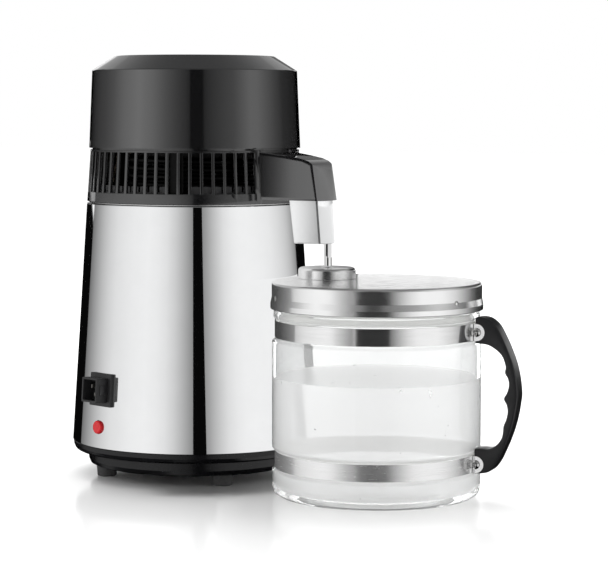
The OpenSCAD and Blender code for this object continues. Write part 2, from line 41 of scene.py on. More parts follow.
MM = 0.001
UX, UY = -111.2, 6.2            # boiler axis, mm
JX, JY = UX + 209.3, 6.2        # jug axis, mm
IN_A, IN_Z = -99.2, 86.3        # power inlet: compass angle, height
BT_A, BT_Z = -100.6, 51.9       # reset button
PITCH, PHASE = 360 / 59, 2.4    # vent ribs
PIPE_X, CAP_X = 155.2, 154.4    # outlet pipe and inlet cap, from the boiler axis
SLOPE = math.atan((115 - 100.7) / (254 - 32.6))
AZ = math.radians(37.34)        # photo's viewing azimuth


def shell_r(z):
    return 115 - (z - 32.6) * (115 - 100.7) / (254 - 32.6)


# ------------------------------------------------------------------ camera
FWD = Vector((-math.sin(AZ), math.cos(AZ), 0))
RGT = Vector((math.cos(AZ), math.sin(AZ), 0))
cam_data = bpy.data.cameras.new("cam")
cam = bpy.data.objects.new("cam", cam_data)
scene.collection.objects.link(cam)
eye = Vector((UX, UY, 0)) - (RGT * -102.18 + FWD * 2066.85)
cam.location = (eye.x * MM, eye.y * MM, 0.3374)
cam.rotation_euler = (Matrix.Rotation(AZ, 3, "Z") @ Matrix.Rotation(math.radians(90 - 4.62), 3, "X") @ Matrix.Rotation(math.radians(0.12), 3, "Z")).to_euler()
cam_data.sensor_width = 36.0
cam_data.lens = 2206.7 / 608 * 36.0
cam_data.clip_start, cam_data.clip_end = 0.05, 60
scene.camera = cam
scene.view_settings.view_transform = "Standard"
scene.view_settings.look = "None"


# ------------------------------------------------------------------ materials
def node(nt, kind, **values):
    n = nt.nodes.new(kind)
    for k, v in values.items():
        if k.startswith("_"):
            setattr(n, k[1:], v)
        else:
            n.inputs[k].default_value = v
    return n


def material(name, color, rough, metal=0.0, spread=0.12, scale=60.0, rough_spread=0.25, bump=0.0, bump_scale=900.0,
             stretch=(1, 1, 1), **sockets):
    """Principled material whose colour, roughness and normal vary with noise of a real size (metres)."""
    m = bpy.data.materials.new(name)
    m.use_nodes = True
    nt = m.node_tree
    p = nt.nodes["Principled BSDF"]
    for k, v in sockets.items():
        p.inputs[k.replace("_", " ")].default_value = v
    p.inputs["Metallic"].default_value = metal
    tc = node(nt, "ShaderNodeTexCoord")
    mp = node(nt, "ShaderNodeMapping", Scale=stretch)
    nt.links.new(tc.outputs["Object"], mp.inputs["Vector"])
    n1 = node(nt, "ShaderNodeTexNoise", Scale=scale, Detail=4.0, Roughness=0.6)
    nt.links.new(mp.outputs["Vector"], n1.inputs["Vector"])
    ramp = node(nt, "ShaderNodeValToRGB")
    lo = [max(0.0, c * (1 - spread)) for c in color]
    hi = [min(1.0, c * (1 + spread)) for c in color]
    ramp.color_ramp.elements[0].position, ramp.color_ramp.elements[1].position = 0.3, 0.7
    ramp.color_ramp.elements[0].color = (*lo, 1)
    ramp.color_ramp.elements[1].color = (*hi, 1)
    nt.links.new(n1.outputs["Fac"], ramp.inputs["Fac"])
    nt.links.new(ramp.outputs["Color"], p.inputs["Base Color"])
    n2 = node(nt, "ShaderNodeTexNoise", Scale=scale * 2.7, Detail=5.0, Roughness=0.65)
    nt.links.new(mp.outputs["Vector"], n2.inputs["Vector"])
    mr = node(nt, "ShaderNodeMapRange")
    mr.inputs["From Min"].default_value, mr.inputs["From Max"].default_value = 0.3, 0.7
    mr.inputs["To Min"].default_value = max(0.0, rough * (1 - rough_spread))
    mr.inputs["To Max"].default_value = min(1.0, rough * (1 + rough_spread))
    nt.links.new(n2.outputs["Fac"], mr.inputs["Value"])
    nt.links.new(mr.outputs["Result"], p.inputs["Roughness"])
    if bump:
        n3 = node(nt, "ShaderNodeTexNoise", Scale=bump_scale, Detail=3.0, Roughness=0.55)
        nt.links.new(mp.outputs["Vector"], n3.inputs["Vector"])
        b = node(nt, "ShaderNodeBump", Strength=bump, Distance=0.0002)
        nt.links.new(n3.outputs["Fac"], b.inputs["Height"])
        nt.links.new(b.outputs["Normal"], p.inputs["Normal"])
    return m


M = {}
M["mirror"] = material("mirror_steel", (0.86, 0.865, 0.87), 0.035, 1.0, spread=0.015, scale=35, rough_spread=0.35)
M["lid"] = material("polished_lid", (0.92, 0.92, 0.92), 0.2, 0.965, spread=0.015, scale=50, rough_spread=0.12)
M["band"] = material("band_steel", (0.86, 0.86, 0.86), 0.12, 0.965, spread=0.03, scale=30, rough_spread=0.25, stretch=(1, 1, 12))
M["band_low"] = material("band_steel_low", (0.88, 0.88, 0.88), 0.23, 0.8, spread=0.03, scale=30, rough_spread=0.25, stretch=(1, 1, 12))
M["ear"] = material("ear_steel", (0.95, 0.95, 0.95), 0.18, 1.0, spread=0.03, scale=200, rough_spread=0.2)
M["cap"] = material("polished_cap", (0.9, 0.9, 0.9), 0.2, 1.0, spread=0.02, scale=120, rough_spread=0.2)
# Painted shade: the steel inside the head is coloured near black so the vent slots look dark inside
M["inner"] = material("inner_steel_painted_shade", (0.016, 0.016, 0.016), 0.4, 1.0, spread=0.08, scale=120, rough_spread=0.25, bump=0.05, bump_scale=1500)
M["chrome"] = material("chrome_pipe", (0.88, 0.88, 0.88), 0.05, 1.0, spread=0.02, scale=200, rough_spread=0.4)
M["satin"] = material("satin_steel", (0.58, 0.58, 0.58), 0.3, 1.0, spread=0.06, scale=120, rough_spread=0.25, bump=0.05, bump_scale=1500)
M["screw"] = material("zinc_screw", (0.8, 0.8, 0.79), 0.2, 1.0, spread=0.1, scale=500, rough_spread=0.3, bump=0.05, bump_scale=3000)
M["dark_steel"] = material("heat_dark_steel", (0.16, 0.15, 0.14), 0.42, 1.0, spread=0.25, scale=220, bump=0.1)
M["alu"] = material("cast_aluminium", (0.6, 0.61, 0.62), 0.48, 1.0, spread=0.1, scale=260, bump=0.25, bump_scale=1400)
M["brass"] = material("plated_pins", (0.34, 0.33, 0.31), 0.32, 1.0, spread=0.08, scale=500)
M["cover"] = material("gloss_black", (0.004, 0.004, 0.0044), 0.06, 0.0, spread=0.1, scale=40, rough_spread=0.3,
                      Specular_IOR_Level=1.0, Coat_Weight=1.0, Coat_Roughness=0.03, Coat_IOR=1.65)
M["vent"] = material("satin_black", (0.006, 0.006, 0.0065), 0.13, 0.0, spread=0.15, scale=300, rough_spread=0.2, bump=0.04,
                     bump_scale=2500, Specular_IOR_Level=0.8, Coat_Weight=0.7, Coat_Roughness=0.1, Coat_IOR=1.6)
M["hood"] = material("hood_black", (0.008, 0.008, 0.0085), 0.07, 0.0, spread=0.12, scale=200, rough_spread=0.1,
                     Specular_IOR_Level=1.0, Coat_Weight=1.0, Coat_Roughness=0.05, Coat_IOR=1.65)
M["base"] = material("base_black", (0.008, 0.008, 0.009), 0.2, 0.0, spread=0.15, scale=120, rough_spread=0.25, bump=0.03,
                     bump_scale=2500, Specular_IOR_Level=0.3)
M["inlet"] = material("inlet_black", (0.014, 0.014, 0.015), 0.38, 0.0, spread=0.2, scale=500, rough_spread=0.2, bump=0.2,
                      bump_scale=3500)
M["handle"] = material("handle_black", (0.011, 0.011, 0.012), 0.32, 0.0, spread=0.2, scale=300, rough_spread=0.15, bump=0.12,
                       bump_scale=3000)
M["rubber"] = material("rubber", (0.05, 0.05, 0.05), 0.7, 0.0, spread=0.25, scale=400, bump=0.25, bump_scale=2500)
M["red"] = material("red_button", (0.62, 0.012, 0.018), 0.22, 0.0, spread=0.08, scale=300, bump=0.04, bump_scale=2500)
M["grey"] = material("light_grey", (0.93, 0.935, 0.94), 0.14, 0.85, spread=0.01, scale=60, rough_spread=0.1)
M["white"] = material("white_moulding", (0.78, 0.77, 0.73), 0.5, 0.0, spread=0.05, scale=300, bump=0.15, bump_scale=2500)
M["silicone"] = material("silicone", (0.78, 0.78, 0.74), 0.5, 0.0, spread=0.05, scale=300, bump=0.1, bump_scale=2000)
M["wire"] = material("wire_sleeve", (0.5, 0.4, 0.3), 0.6, 0.0, spread=0.2, scale=900, bump=0.4, bump_scale=4000)
M["motor"] = material("motor_can", (0.1, 0.1, 0.11), 0.35, 0.6, spread=0.15, scale=200, bump=0.1)
M["fan"] = material("fan_plastic", (0.06, 0.06, 0.065), 0.4, 0.0, spread=0.15, scale=300, bump=0.15)
# Painted shade: the black air drum sits inside the head so the vent slots look dark inside
M["drum"] = material("drum_black_shade", (0.006, 0.006, 0.006), 0.6, 0.0, spread=0.15, scale=300, bump=0.1)
M["glass"] = material("clear_glass", (0.91, 0.915, 0.915), 0.005, 0.0, spread=0.006, scale=20, rough_spread=0.4,
                      Transmission_Weight=0.84, IOR=1.06, Coat_Weight=0.8, Coat_Roughness=0.02, Coat_IOR=1.5)
M["water"] = material("water", (0.985, 0.985, 0.985), 0.3, 0.0, spread=0.005, scale=20, rough_spread=0.1,
                      Transmission_Weight=0.66, IOR=1.05)




def painted_edge_shade(m, amount):
    """Painted shade: the glass's colour is darkened toward grey where its walls are seen edge-on."""
    nt = m.node_tree
    p = nt.nodes["Principled BSDF"]
    source = p.inputs["Base Color"].links[0].from_socket
    lw = node(nt, "ShaderNodeLayerWeight", Blend=0.5)
    power = node(nt, "ShaderNodeMath", _operation="POWER")
    power.inputs[1].default_value = 5.0
    scale = node(nt, "ShaderNodeMath", _operation="MULTIPLY")
    scale.inputs[1].default_value = amount
    nt.links.new(lw.outputs["Facing"], power.inputs[0])
    nt.links.new(power.outputs["Value"], scale.inputs[0])
    mix = node(nt, "ShaderNodeMixRGB")
    # grey mixed into the glass's colour at grazing view: painted shade
    mix.inputs["Color2"].default_value = (0.25, 0.26, 0.26, 1)
    nt.links.new(scale.outputs["Value"], mix.inputs["Fac"])
    nt.links.new(source, mix.inputs["Color1"])
    nt.links.new(mix.outputs["Color"], p.inputs["Base Color"])


# painted shade along the glass's edge-on walls
painted_edge_shade(M["glass"], 0.6)


# ------------------------------------------------------------------ mesh helpers
def finish_mesh(name, verts, faces, mat, body, rep=(), slot=None, sharp=38.0, loop_normals=None, recalc=True, bevel=None,
                weighted=False):
    me = bpy.data.meshes.new(name)
    me.from_pydata([(v[0] * MM, v[1] * MM, v[2] * MM) for v in verts], [], faces)
    if recalc:
        bm = bmesh.new()
        bm.from_mesh(me)
        bmesh.ops.recalc_face_normals(bm, faces=bm.faces)
        if bevel:
            width, segs, angle = bevel
            edges = [e for e in bm.edges if len(e.link_faces) == 2 and e.calc_face_angle(0) > math.radians(angle)]
            bmesh.ops.bevel(bm, geom=edges, offset=width * MM, offset_type="OFFSET", segments=segs, profile=0.5,
                            affect="EDGES", clamp_overlap=True)
        bm.to_mesh(me)
        bm.free()
    me.polygons.foreach_set("use_smooth", [True] * len(me.polygons))
    me.update()
    if loop_normals is not None:
        me.normals_split_custom_set(loop_normals)
    else:
        me.set_sharp_from_angle(angle=math.radians(sharp))
    me.materials.append(mat)
    ob = bpy.data.objects.new(name, me)
    scene.collection.objects.link(ob)
    if weighted:
        w = ob.modifiers.new("wn", "WEIGHTED_NORMAL")
        w.keep_sharp = True
        w.weight = 80
    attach(ob, body)
    if rep:
        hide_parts(*rep)
    return ob


def fillet(pts, steps=6):
    """Closed (r, z[, radius]) outline -> points and the two end normals of each segment, counter-clockwise."""
    pts = [(p[0], p[1], p[2] if len(p) > 2 else 0.0) for p in pts]
    area = sum(pts[i - 1][0] * pts[i][1] - pts[i][0] * pts[i - 1][1] for i in range(len(pts)))
    if area < 0:
        pts = pts[::-1]
    out = []                                    # (point, normal before, normal after)
    n = len(pts)
    for i in range(n):
        a, b, c = Vector(pts[i - 1][:2]), Vector(pts[i][:2]), Vector(pts[(i + 1) % n][:2])
        u, v = (b - a), (c - b)
        lu, lv = u.length, v.length
        u, v = u / lu, v / lv
        nu, nv = Vector((u.y, -u.x)), Vector((v.y, -v.x))
        rad = pts[i][2]
        turn = math.atan2(u.x * v.y - u.y * v.x, u.dot(v))
        if rad <= 0 or abs(turn) < 0.01:
            out.append((b, nu, nv))
            continue
        t = min(rad * math.tan(abs(turn) / 2), 0.48 * lu, 0.48 * lv)
        rad = t / math.tan(abs(turn) / 2)
        side = 1 if turn > 0 else -1
        centre = b - u * t + Vector((-u.y, u.x)) * rad * side
        k = max(2, int(steps * abs(turn) / (math.pi / 2) + 0.99))
        for j in range(k + 1):
            ang = turn * j / k
            ca, sa = math.cos(ang), math.sin(ang)
            nn = Vector((nu.x * ca - nu.y * sa, nu.x * sa + nu.y * ca))
            out.append((centre + nn * rad * side, nn, nn))
    return out


def lathe(name, pts, mat, body, cx, cy, rep=(), slot=None, seg=160, steps=6, frame_m=None, a0=0.0):
    """Turned piece: exact normals, so polished faces reflect cleanly. frame_m places a piece turned about its own axis."""
    prof = fillet(pts, steps)
    verts, index = [], []
    for p, _, _ in prof:
        if p.x < 1e-4:
            index.append([len(verts)] * seg)
            verts.append((0, 0, p.y))
        else:
            row = []
            for k in range(seg):
                t = a0 + 2 * math.pi * k / seg
                row.append(len(verts))
                verts.append((p.x * math.cos(t), p.x * math.sin(t), p.y))
            index.append(row)
    faces, normals = [], []
    m = len(prof)
    for i in range(m):
        j = (i + 1) % m
        if prof[i][0].x < 1e-4 and prof[j][0].x < 1e-4:
            continue
        n0, n1 = prof[i][2], prof[j][1]
        for k in range(seg):
            k2 = (k + 1) % seg
            t0, t1 = a0 + 2 * math.pi * k / seg, a0 + 2 * math.pi * (k + 1) / seg
            q = [(index[i][k], n0, t0), (index[i][k2], n0, t1), (index[j][k2], n1, t1), (index[j][k], n1, t0)]
            if prof[i][0].x < 1e-4:
                q = [q[0], q[2], q[3]]
            elif prof[j][0].x < 1e-4:
                q = [q[0], q[1], q[2]]
            faces.append([c[0] for c in q])
            normals += [(c[1].x * math.cos(c[2]), c[1].x * math.sin(c[2]), c[1].y) for c in q]
    if frame_m is None:
        frame_m = Matrix.Translation((cx, cy, 0))
    rot = frame_m.to_3x3()
    verts = [tuple(frame_m @ Vector(v)) for v in verts]
    normals = [tuple(rot @ Vector(v)) for v in normals]
    return finish_mesh(name, verts, faces, mat, body, rep, slot, loop_normals=normals, recalc=False)


class Build:
    """Collects several closed shapes for one piece."""

    def __init__(self):
        self.v, self.f = [], []

    def loft(self, rings, cap0=True, cap1=True, wrap=False):
        n = len(rings[0])
        o = len(self.v)
        for r in rings:
            self.v += [tuple(p) for p in r]
        last = len(rings) if wrap else len(rings) - 1
        for i in range(last):
            a, b = o + i * n, o + ((i + 1) % len(rings)) * n
            for k in range(n):
                k2 = (k + 1) % n
                self.f.append([a + k, a + k2, b + k2, b + k])
        if not wrap and cap0:
            self.f.append([o + k for k in range(n)][::-1])
        if not wrap and cap1:
            self.f.append([o + (len(rings) - 1) * n + k for k in range(n)])

    def done(self, name, mat, body, **kw):
        return finish_mesh(name, self.v, self.f, mat, body, **kw)


def rrect(hy, hz, r, n=4, m=0):
    """Rounded rectangle outline, counter-clockwise, m extra points along each side."""
    r = min(r, hy * 0.98, hz * 0.98)
    corners = [(hy - r, hz - r, 0), (-hy + r, hz - r, 90), (-hy + r, -hz + r, 180), (hy - r, -hz + r, 270)]
    pts = []
    for i, (cy, cz, a) in enumerate(corners):
        for k in range(n + 1):
            t = math.radians(a + 90 * k / n)
            pts.append((cy + r * math.cos(t), cz + r * math.sin(t)))
        if m:
            ny, nz, na = corners[(i + 1) % 4]
            t = math.radians(na)
            e = (ny + r * math.cos(t), nz + r * math.sin(t))
            s = pts[-1]
            for k in range(1, m + 1):
                f = k / (m + 1)
                pts.append((s[0] + (e[0] - s[0]) * f, s[1] + (e[1] - s[1]) * f))
    return pts


def on_shell(ang, z):
    """Matrix of a local frame on the shell: x outwards, y along the rim, z up the slope (mm)."""
    return (Matrix.Translation((UX, UY, 0)) @ Matrix.Rotation(math.radians(ang), 4, "Z")
            @ Matrix.Translation((shell_r(z), 0, z)) @ Matrix.Rotation(-SLOPE, 4, "Y"))


def catmull(p, m):
    out = []
    n = len(p) - 1
    for i in range(n):
        a, b, c, d = p[max(i - 1, 0)], p[i], p[i + 1], p[min(i + 2, n)]
        for k in range(m):
            t = k / m
            out.append(tuple(0.5 * (2 * b[j] + (c[j] - a[j]) * t + (2 * a[j] - 5 * b[j] + 4 * c[j] - d[j]) * t * t
                                    + (3 * b[j] - a[j] - 3 * c[j] + d[j]) * t ** 3) for j in range(len(b))))
    out.append(tuple(p[-1]))
    return out


def resample(p, n):
    d = [0.0]
    for i in range(1, len(p)):
        d.append(d[-1] + math.dist(p[i - 1], p[i]))
    out, i = [], 0
    for k in range(n):
        s = d[-1] * k / (n - 1)
        while i < len(p) - 2 and d[i + 1] < s:
            i += 1
        f = 0 if d[i + 1] == d[i] else (s - d[i]) / (d[i + 1] - d[i])
        out.append(tuple(p[i][j] + (p[i + 1][j] - p[i][j]) * f for j in range(len(p[i]))))
    return out


# ------------------------------------------------------------------ boiler body
def build_shell():
    """Conical sleeve with a real opening behind the inlet and a round one for the button."""
    ai = math.degrees(math.asin(12.2 / shell_r(IN_Z)))
    hi_z = (IN_Z - 12.7, IN_Z + 12.7)
    ba, bz, half_a, half_z = BT_A, BT_Z, 4.6, 9.0
    inner = sorted({round(ba + half_a * i / 4, 4) for i in range(-4, 5)} | {round(IN_A - ai, 4), round(IN_A + ai, 4)})
    angles = [a for a in [-180 + 1.5 * i for i in range(240)] if a < inner[0] - 0.8 or a > inner[-1] + 0.8]
    angles = sorted(angles + inner)
    zs = sorted([33.4] + [bz + half_z * i / 4 for i in range(-4, 5)] + list(hi_z) + [36, 120, 150, 180, 210, 235, 250, 252.9])
    t = 0.8
    v, f, nrm = [], [], []
    cs, sn = math.cos(SLOPE), math.sin(SLOPE)

    def wall(off, sign):
        idx = {}
        for i, a in enumerate(angles):
            for j, z in enumerate(zs):
                r = shell_r(z) - off
                idx[i, j] = len(v)
                v.append((UX + r * math.cos(math.radians(a)), UY + r * math.sin(math.radians(a)), z))
        ring = []
        for i, a in enumerate(angles):
            for j in range(len(zs) - 1):
                i2 = (i + 1) % len(angles)
                a2 = angles[i2] if i2 else angles[0] + 360
                mid_a, mid_z = (a + a2) / 2, (zs[j] + zs[j + 1]) / 2
                if abs(mid_a - IN_A) < ai and hi_z[0] < mid_z < hi_z[1]:
                    continue
                if abs(mid_a - ba) < half_a and abs(mid_z - bz) < half_z:
                    continue
                face = [(i, j), (i2, j), (i2, j + 1), (i, j + 1)]
                if sign < 0:
                    face.reverse()
                f.append([idx[c] for c in face])
                for c in face:
                    w = math.radians(angles[c[0]])
                    nrm.append((sign * cs * math.cos(w), sign * cs * math.sin(w), sign * sn))
        # ring of faces from the square patch to the button's round hole
        ia = [i for i, a in enumerate(angles) if abs(a - ba) <= half_a + 1e-3]
        jz = [j for j, z in enumerate(zs) if abs(z - bz) <= half_z + 1e-3]
        edge = [(i, jz[0]) for i in ia] + [(ia[-1], j) for j in jz[1:]] + [(i, jz[-1]) for i in ia[-2::-1]] + [(ia[0], j) for j in jz[-2:0:-1]]
        for c in edge:
            da = math.radians(angles[c[0]] - ba) * shell_r(bz)
            dz = zs[c[1]] - bz
            s = 6.4 / math.hypot(da, dz)
            w, z = math.radians(ba) + da * s / shell_r(bz), bz + dz * s
            ring.append((len(v), w))
            r = shell_r(z) - off
            v.append((UX + r * math.cos(w), UY + r * math.sin(w), z))
        for k in range(len(edge)):
            k2 = (k + 1) % len(edge)
            face = [(idx[edge[k]], math.radians(angles[edge[k][0]])), (idx[edge[k2]], math.radians(angles[edge[k2][0]])), ring[k2], ring[k]]
            if sign < 0:
                face.reverse()
            f.append([c[0] for c in face])
            nrm.extend([(sign * cs * math.cos(c[1]), sign * cs * math.sin(c[1]), sign * sn) for c in face])
        rect = []
        i0, i1 = [i for i, a in enumerate(angles) if abs(abs(a - IN_A) - ai) < 1e-3]
        j0, j1 = zs.index(hi_z[0]), zs.index(hi_z[1])
        rect = [(i, j0) for i in range(i0, i1)] + [(i1, j) for j in range(j0, j1)] + [(i, j1) for i in range(i1, i0, -1)] + [(i0, j) for j in range(j1, j0, -1)]
        return idx, [r[0] for r in ring], [idx[c] for c in rect]

    oi, oring, orect = wall(0, 1)
    ii, iring, irect = wall(t, -1)

    def flat_normal(face):
        a, b, c = (Vector(v[face[k]]) for k in (0, 1, 2))
        return tuple((b - a).cross(c - b).normalized())

    def strip(lo, hi):
        for k in range(len(lo)):
            k2 = (k + 1) % len(lo)
            face = [lo[k], lo[k2], hi[k2], hi[k]]
            f.append(face)
            nrm.extend([flat_normal(face)] * 4)

    strip(iring[::-1], oring[::-1])
    strip(irect[::-1], orect[::-1])
    n = len(angles)

    def turned(first, path, last):
        """Rows of (r, z, nr, nz) joining two existing rows of vertices."""
        rows = [first]
        for r, z, _, _ in path[1:-1]:
            row = []
            for a in angles:
                row.append(len(v))
                v.append((UX + r * math.cos(math.radians(a)), UY + r * math.sin(math.radians(a)), z))
            rows.append(row)
        rows.append(last)
        for i in range(len(rows) - 1):
            for k in range(n):
                k2 = (k + 1) % n
                f.append([rows[i][k], rows[i][k2], rows[i + 1][k2], rows[i + 1][k]])
                for kk, p in ((k, path[i]), (k2, path[i]), (k2, path[i + 1]), (k, path[i + 1])):
                    w = math.radians(angles[kk])
                    nrm.append((p[2] * math.cos(w), p[2] * math.sin(w), p[3]))

    top = len(zs) - 1
    r1 = shell_r(zs[-1])
    path = [(r1, zs[-1], cs, sn)]
    for k in range(1, 7):                      # rolled top edge
        w = SLOPE + (math.pi / 2 - SLOPE) * k / 6
        path.append((r1 - 1.0 * cs + 1.0 * math.cos(w), zs[-1] - 1.0 * sn + 1.0 * math.sin(w), math.cos(w), math.sin(w)))
    path[-1] = (path[-1][0], 254.0 - 0.0, 0, 1)
    path += [(95.6, 254.0, 0, 1), (95.2, 253.9, -0.7, 0.7), (95.0, 253.5, -1, 0), (95.2, 253.25, -0.7, -0.7), (95.6, 253.2, 0, -1),
             (shell_r(253) - 1.6, 253.2, 0, -1), (shell_r(zs[-1]) - t, zs[-1], -cs, -sn)]
    turned([oi[k, top] for k in range(n)], path, [ii[k, top] for k in range(n)])
    r0 = shell_r(zs[0])
    path = [(r0 - t, zs[0], -cs, -sn), (108.4, 33.4, 0, 1), (108.0, 33.0, -1, 0), (108.4, 32.6, 0, -1), (r0 - 0.7, 32.6, 0, -1),
            (r0 - 0.2, 32.75, 0.6, -0.75), (r0 + 0.0, 33.1, 0.97, -0.2), (r0, zs[0], cs, sn)]
    turned([ii[k, 0] for k in range(n)], path, [oi[k, 0] for k in range(n)])
    finish_mesh("shell_skin", v, f, M["mirror"], "base", rep=["shell"], slot="polished_steel", loop_normals=nrm, recalc=False)


build_shell()

lathe("base_ring_skin", [(114.4, 32.5, 0.5), (114.0, 28.2, 1.5), (112.4, 24.9, 2.2), (109.8, 23.6, 1.2), (76, 23.6), (76, 26.5), (104, 26.5), (104, 38, 0.6),
                         (107.4, 38, 0.6), (107.4, 32.5)], M["base"], "base", UX, UY, ["base_ring"], "black_moulding", seg=192)
FOOT = [math.radians(-33.4 + 90 * k) for k in range(4)]


def build_feet():
    for k, a in enumerate(FOOT):
        lathe("foot_%d" % k, [(4.6, 0, 0.3), (8.3, 0, 0.9), (8.9, 1.0, 0.6), (9.3, 7.0, 0.8), (9.6, 9.9, 0.4), (2.2, 9.9), (2.2, 5.5), (4.6, 5.5)],
              M["rubber"], "base", UX + 86 * math.cos(a), UY + 86 * math.sin(a), ["feet"], "rubber", seg=48)


build_feet()


def build_inlet():
    m = on_shell(IN_A, IN_Z)
    b = Build()

    def ring(hy, hz, r, x, back=False):
        out = []
        for y, z in rrect(hy, hz, r, 4, 6):
            xx = x
            if back:
                xx = x - (y * y) / (2 * shell_r(IN_Z))
            out.append(m @ Vector((xx, y, z)))
        return out

    # flange with a back that follows the shell
    b.loft([ring(14.5, 14.6, 0.6, 0.12, True), ring(14.9, 15.0, 0.8, 0.12, True), ring(14.9, 15.0, 0.8, 1.8), ring(14.8, 14.9, 0.8, 2.15), ring(14.5, 14.6, 0.7, 2.3)])
    # hollow shroud: outer wall, lip, inner wall, floor
    b.loft([ring(10.5, 11.1, 0.9, 2.1), ring(10.6, 11.2, 1.0, 2.5), ring(10.6, 11.2, 1.0, 14.7), ring(10.5, 11.1, 0.9, 15.0), ring(10.2, 10.8, 0.8, 15.1),
            ring(9.1, 9.6, 0.6, 15.1), ring(8.85, 9.35, 0.5, 14.95), ring(8.7, 9.2, 0.5, 14.5), ring(8.7, 9.2, 0.5, 3.2)])
    # latch bars on the two sides
    for s in (-1, 1):
        rings = []
        for x, g in ((4.6, 0.5), (5.1, 0.0), (10.9, 0.0), (11.4, 0.5)):
            rings.append([m @ Vector((x, s * 10.6 + y, z)) for y, z in rrect(0.7 - g * 0.4, 4.8 - g, 0.4, 3)])
        b.loft(rings)
    # rear part inside the shell
    b.loft([ring(11.9, 12.4, 1.0, -13.0), ring(11.9, 12.4, 1.0, -0.6)])
    b.done("inlet_body", M["inlet"], "base", rep=["power_inlet"], slot="black_moulding", sharp=40)
    p = Build()
    for y, z in ((-5.2, 3), (5.2, 3), (0, -4.2)):
        rings = []
        for x, g in ((-15.8, 0.3), (-15.2, 0), (7.2, 0.0), (8.0, 0.25), (8.4, 0.6)):
            rings.append([m @ Vector((x, y + dy, z + dz)) for dy, dz in rrect(1.0 - g, 2.0 - g, 0.35, 3)])
        p.loft(rings)
    p.done("inlet_blades", M["brass"], "base", rep=["inlet_pins"], slot="brass_pins", sharp=40)


build_inlet()
lathe("red_button", [(0, -6.8), (6.0, -6.8, 0.3), (6.0, 2.4, 1.5), (3.5, 3.0, 3.0), (0, 2.95)], M["red"], "button", 0, 0, ["reset_button"], "red_plastic", seg=64,
      frame_m=on_shell(BT_A, BT_Z) @ Matrix.Rotation(math.pi / 2, 4, "Y"))


# ------------------------------------------------------------------ head
def build_cover():
    lathe("cover_skin", [(98.4, 304.6, 0.5), (95.3, 376.0, 1.4), (74.0, 389.4, 2.2), (0, 389.8), (0, 387.3), (72, 387.0), (92.2, 374.8), (95.9, 304.6, 0.4)],
          M["cover"], "head", UX, UY, ["top_cover"], "gloss_black", seg=256, steps=8)


build_cover()


def arc_box(b, r0, r1, a0, a1, z0, z1, n, bev=0.4, lean=0.0):
    """Curved bar between two angles (degrees), edges rounded by bev; radius shrinks by lean per mm of height."""
    rings = []
    for i in range(n + 1):
        a = math.radians(a0 + (a1 - a0) * i / n)
        g = bev if i in (0, n) else 0.0
        pts = [(r0 + g, z0 + g), (r1 - g, z0 + g), (r1 - g, z1 - g), (r0 + g, z1 - g)] if g else [(r0, z0), (r1, z0), (r1, z1), (r0, z1)]
        rings.append([(UX + (r - lean * (z - z0)) * math.cos(a), UY + (r - lean * (z - z0)) * math.sin(a), z) for r, z in pts])
    b.loft(rings)


LEGS = (60, 180, 300)


def build_vent():
    lean = (100.5 - 97.2) / (302.4 - 255.2)
    lathe("vent_foot", [(100.5, 255.2, 0.5), (99.83, 264.8, 0.8), (96.7, 264.8, 0.5), (96.8, 263.0), (85, 263, 0.4), (85, 260.6, 0.4), (97, 260.6), (97.4, 255.2, 0.3)],
          M["vent"], "head", UX, UY, ["vent_ring"], "satin_black", seg=192)
    lathe("vent_top", [(97.35, 301.2, 0.5), (97.2, 303.2, 0.4), (95.4, 303.2), (95.4, 309, 0.3), (91.9, 309, 0.3), (91.9, 301.2, 0.4)],
          M["vent"], "head", UX, UY, ["vent_ring"], "satin_black", seg=192)
    b = Build()
    for k in range(59):
        a = PHASE + PITCH * k
        d = (a + 180) % 360 - 180
        if -18 < d < 19 or d > 144 or d < -146:
            continue
        ca, sa = math.cos(math.radians(a)), math.sin(math.radians(a))
        rings = []
        for z in (264.2, 302.0):
            rc = 100.5 - lean * (z - 255.2) - 1.62
            rings.append([(UX + (rc + x) * ca - y * sa, UY + (rc + x) * sa + y * ca, z) for x, y in rrect(1.55, 1.52, 0.55, 3)])
        b.loft(rings)
    # solid walls at the back and behind the spout, and the spout's two rounded posts
    arc_box(b, 96.4, 99.7, 141.4, 217.3, 264.4, 302.2, 24, 0.3, lean)
    arc_box(b, 96.4, 99.7, -13.5, 13.5, 264.4, 302.2, 10, 0.3, lean)
    for a in (-14.2, 14.2):
        ca, sa = math.cos(math.radians(a)), math.sin(math.radians(a))
        rings = []
        for z, g in ((255.3, 0.6), (256.2, 0), (302.4, 0), (303.8, 0.6)):
            rc = 98.2 - 0.068 * (z - 255.2)
            rings.append([(UX + (rc + (3.6 - g) * math.cos(t)) * ca - (4.2 - g) * math.sin(t) * sa,
                           UY + (rc + (3.6 - g) * math.cos(t)) * sa + (4.2 - g) * math.sin(t) * ca, z)
                          for t in [2 * math.pi * i / 24 for i in range(24)]])
        b.loft(rings)
    b.done("vent_ribs", M["vent"], "head", rep=["vent_ring"], slot="satin_black", sharp=40)


build_vent()


def build_guard():
    b = Build()

    def clear(a, half):
        if abs((a + 180) % 360 - 180) < half + 2.2:
            return False
        return all(abs((a - leg + 180) % 360 - 180) > half for leg in LEGS)

    for k in range(59):
        a = PHASE + PITCH * (k + 0.5)
        if clear(a, 7.4):
            arc_box(b, 90.4, 92.2, a - 3.0, a + 3.0, 263.05, 265.6, 3, 0.0)
            arc_box(b, 90.4, 92.2, a - 2.35, a + 2.35, 265.3, 271.0, 3, 0.35)
    b.done("guard_tabs", M["guard"], "head", rep=["guard_ring"], slot="satin_black", sharp=40)


M["guard"] = material("guard_grey", (0.05, 0.05, 0.052), 0.42, 0.0, spread=0.12, scale=300, bump=0.06, bump_scale=2500)
build_guard()


def bez(p, t):
    return tuple((1 - t) ** 3 * p[0][j] + 3 * t * (1 - t) ** 2 * p[1][j] + 3 * t * t * (1 - t) * p[2][j] + t ** 3 * p[3][j] for j in range(3))


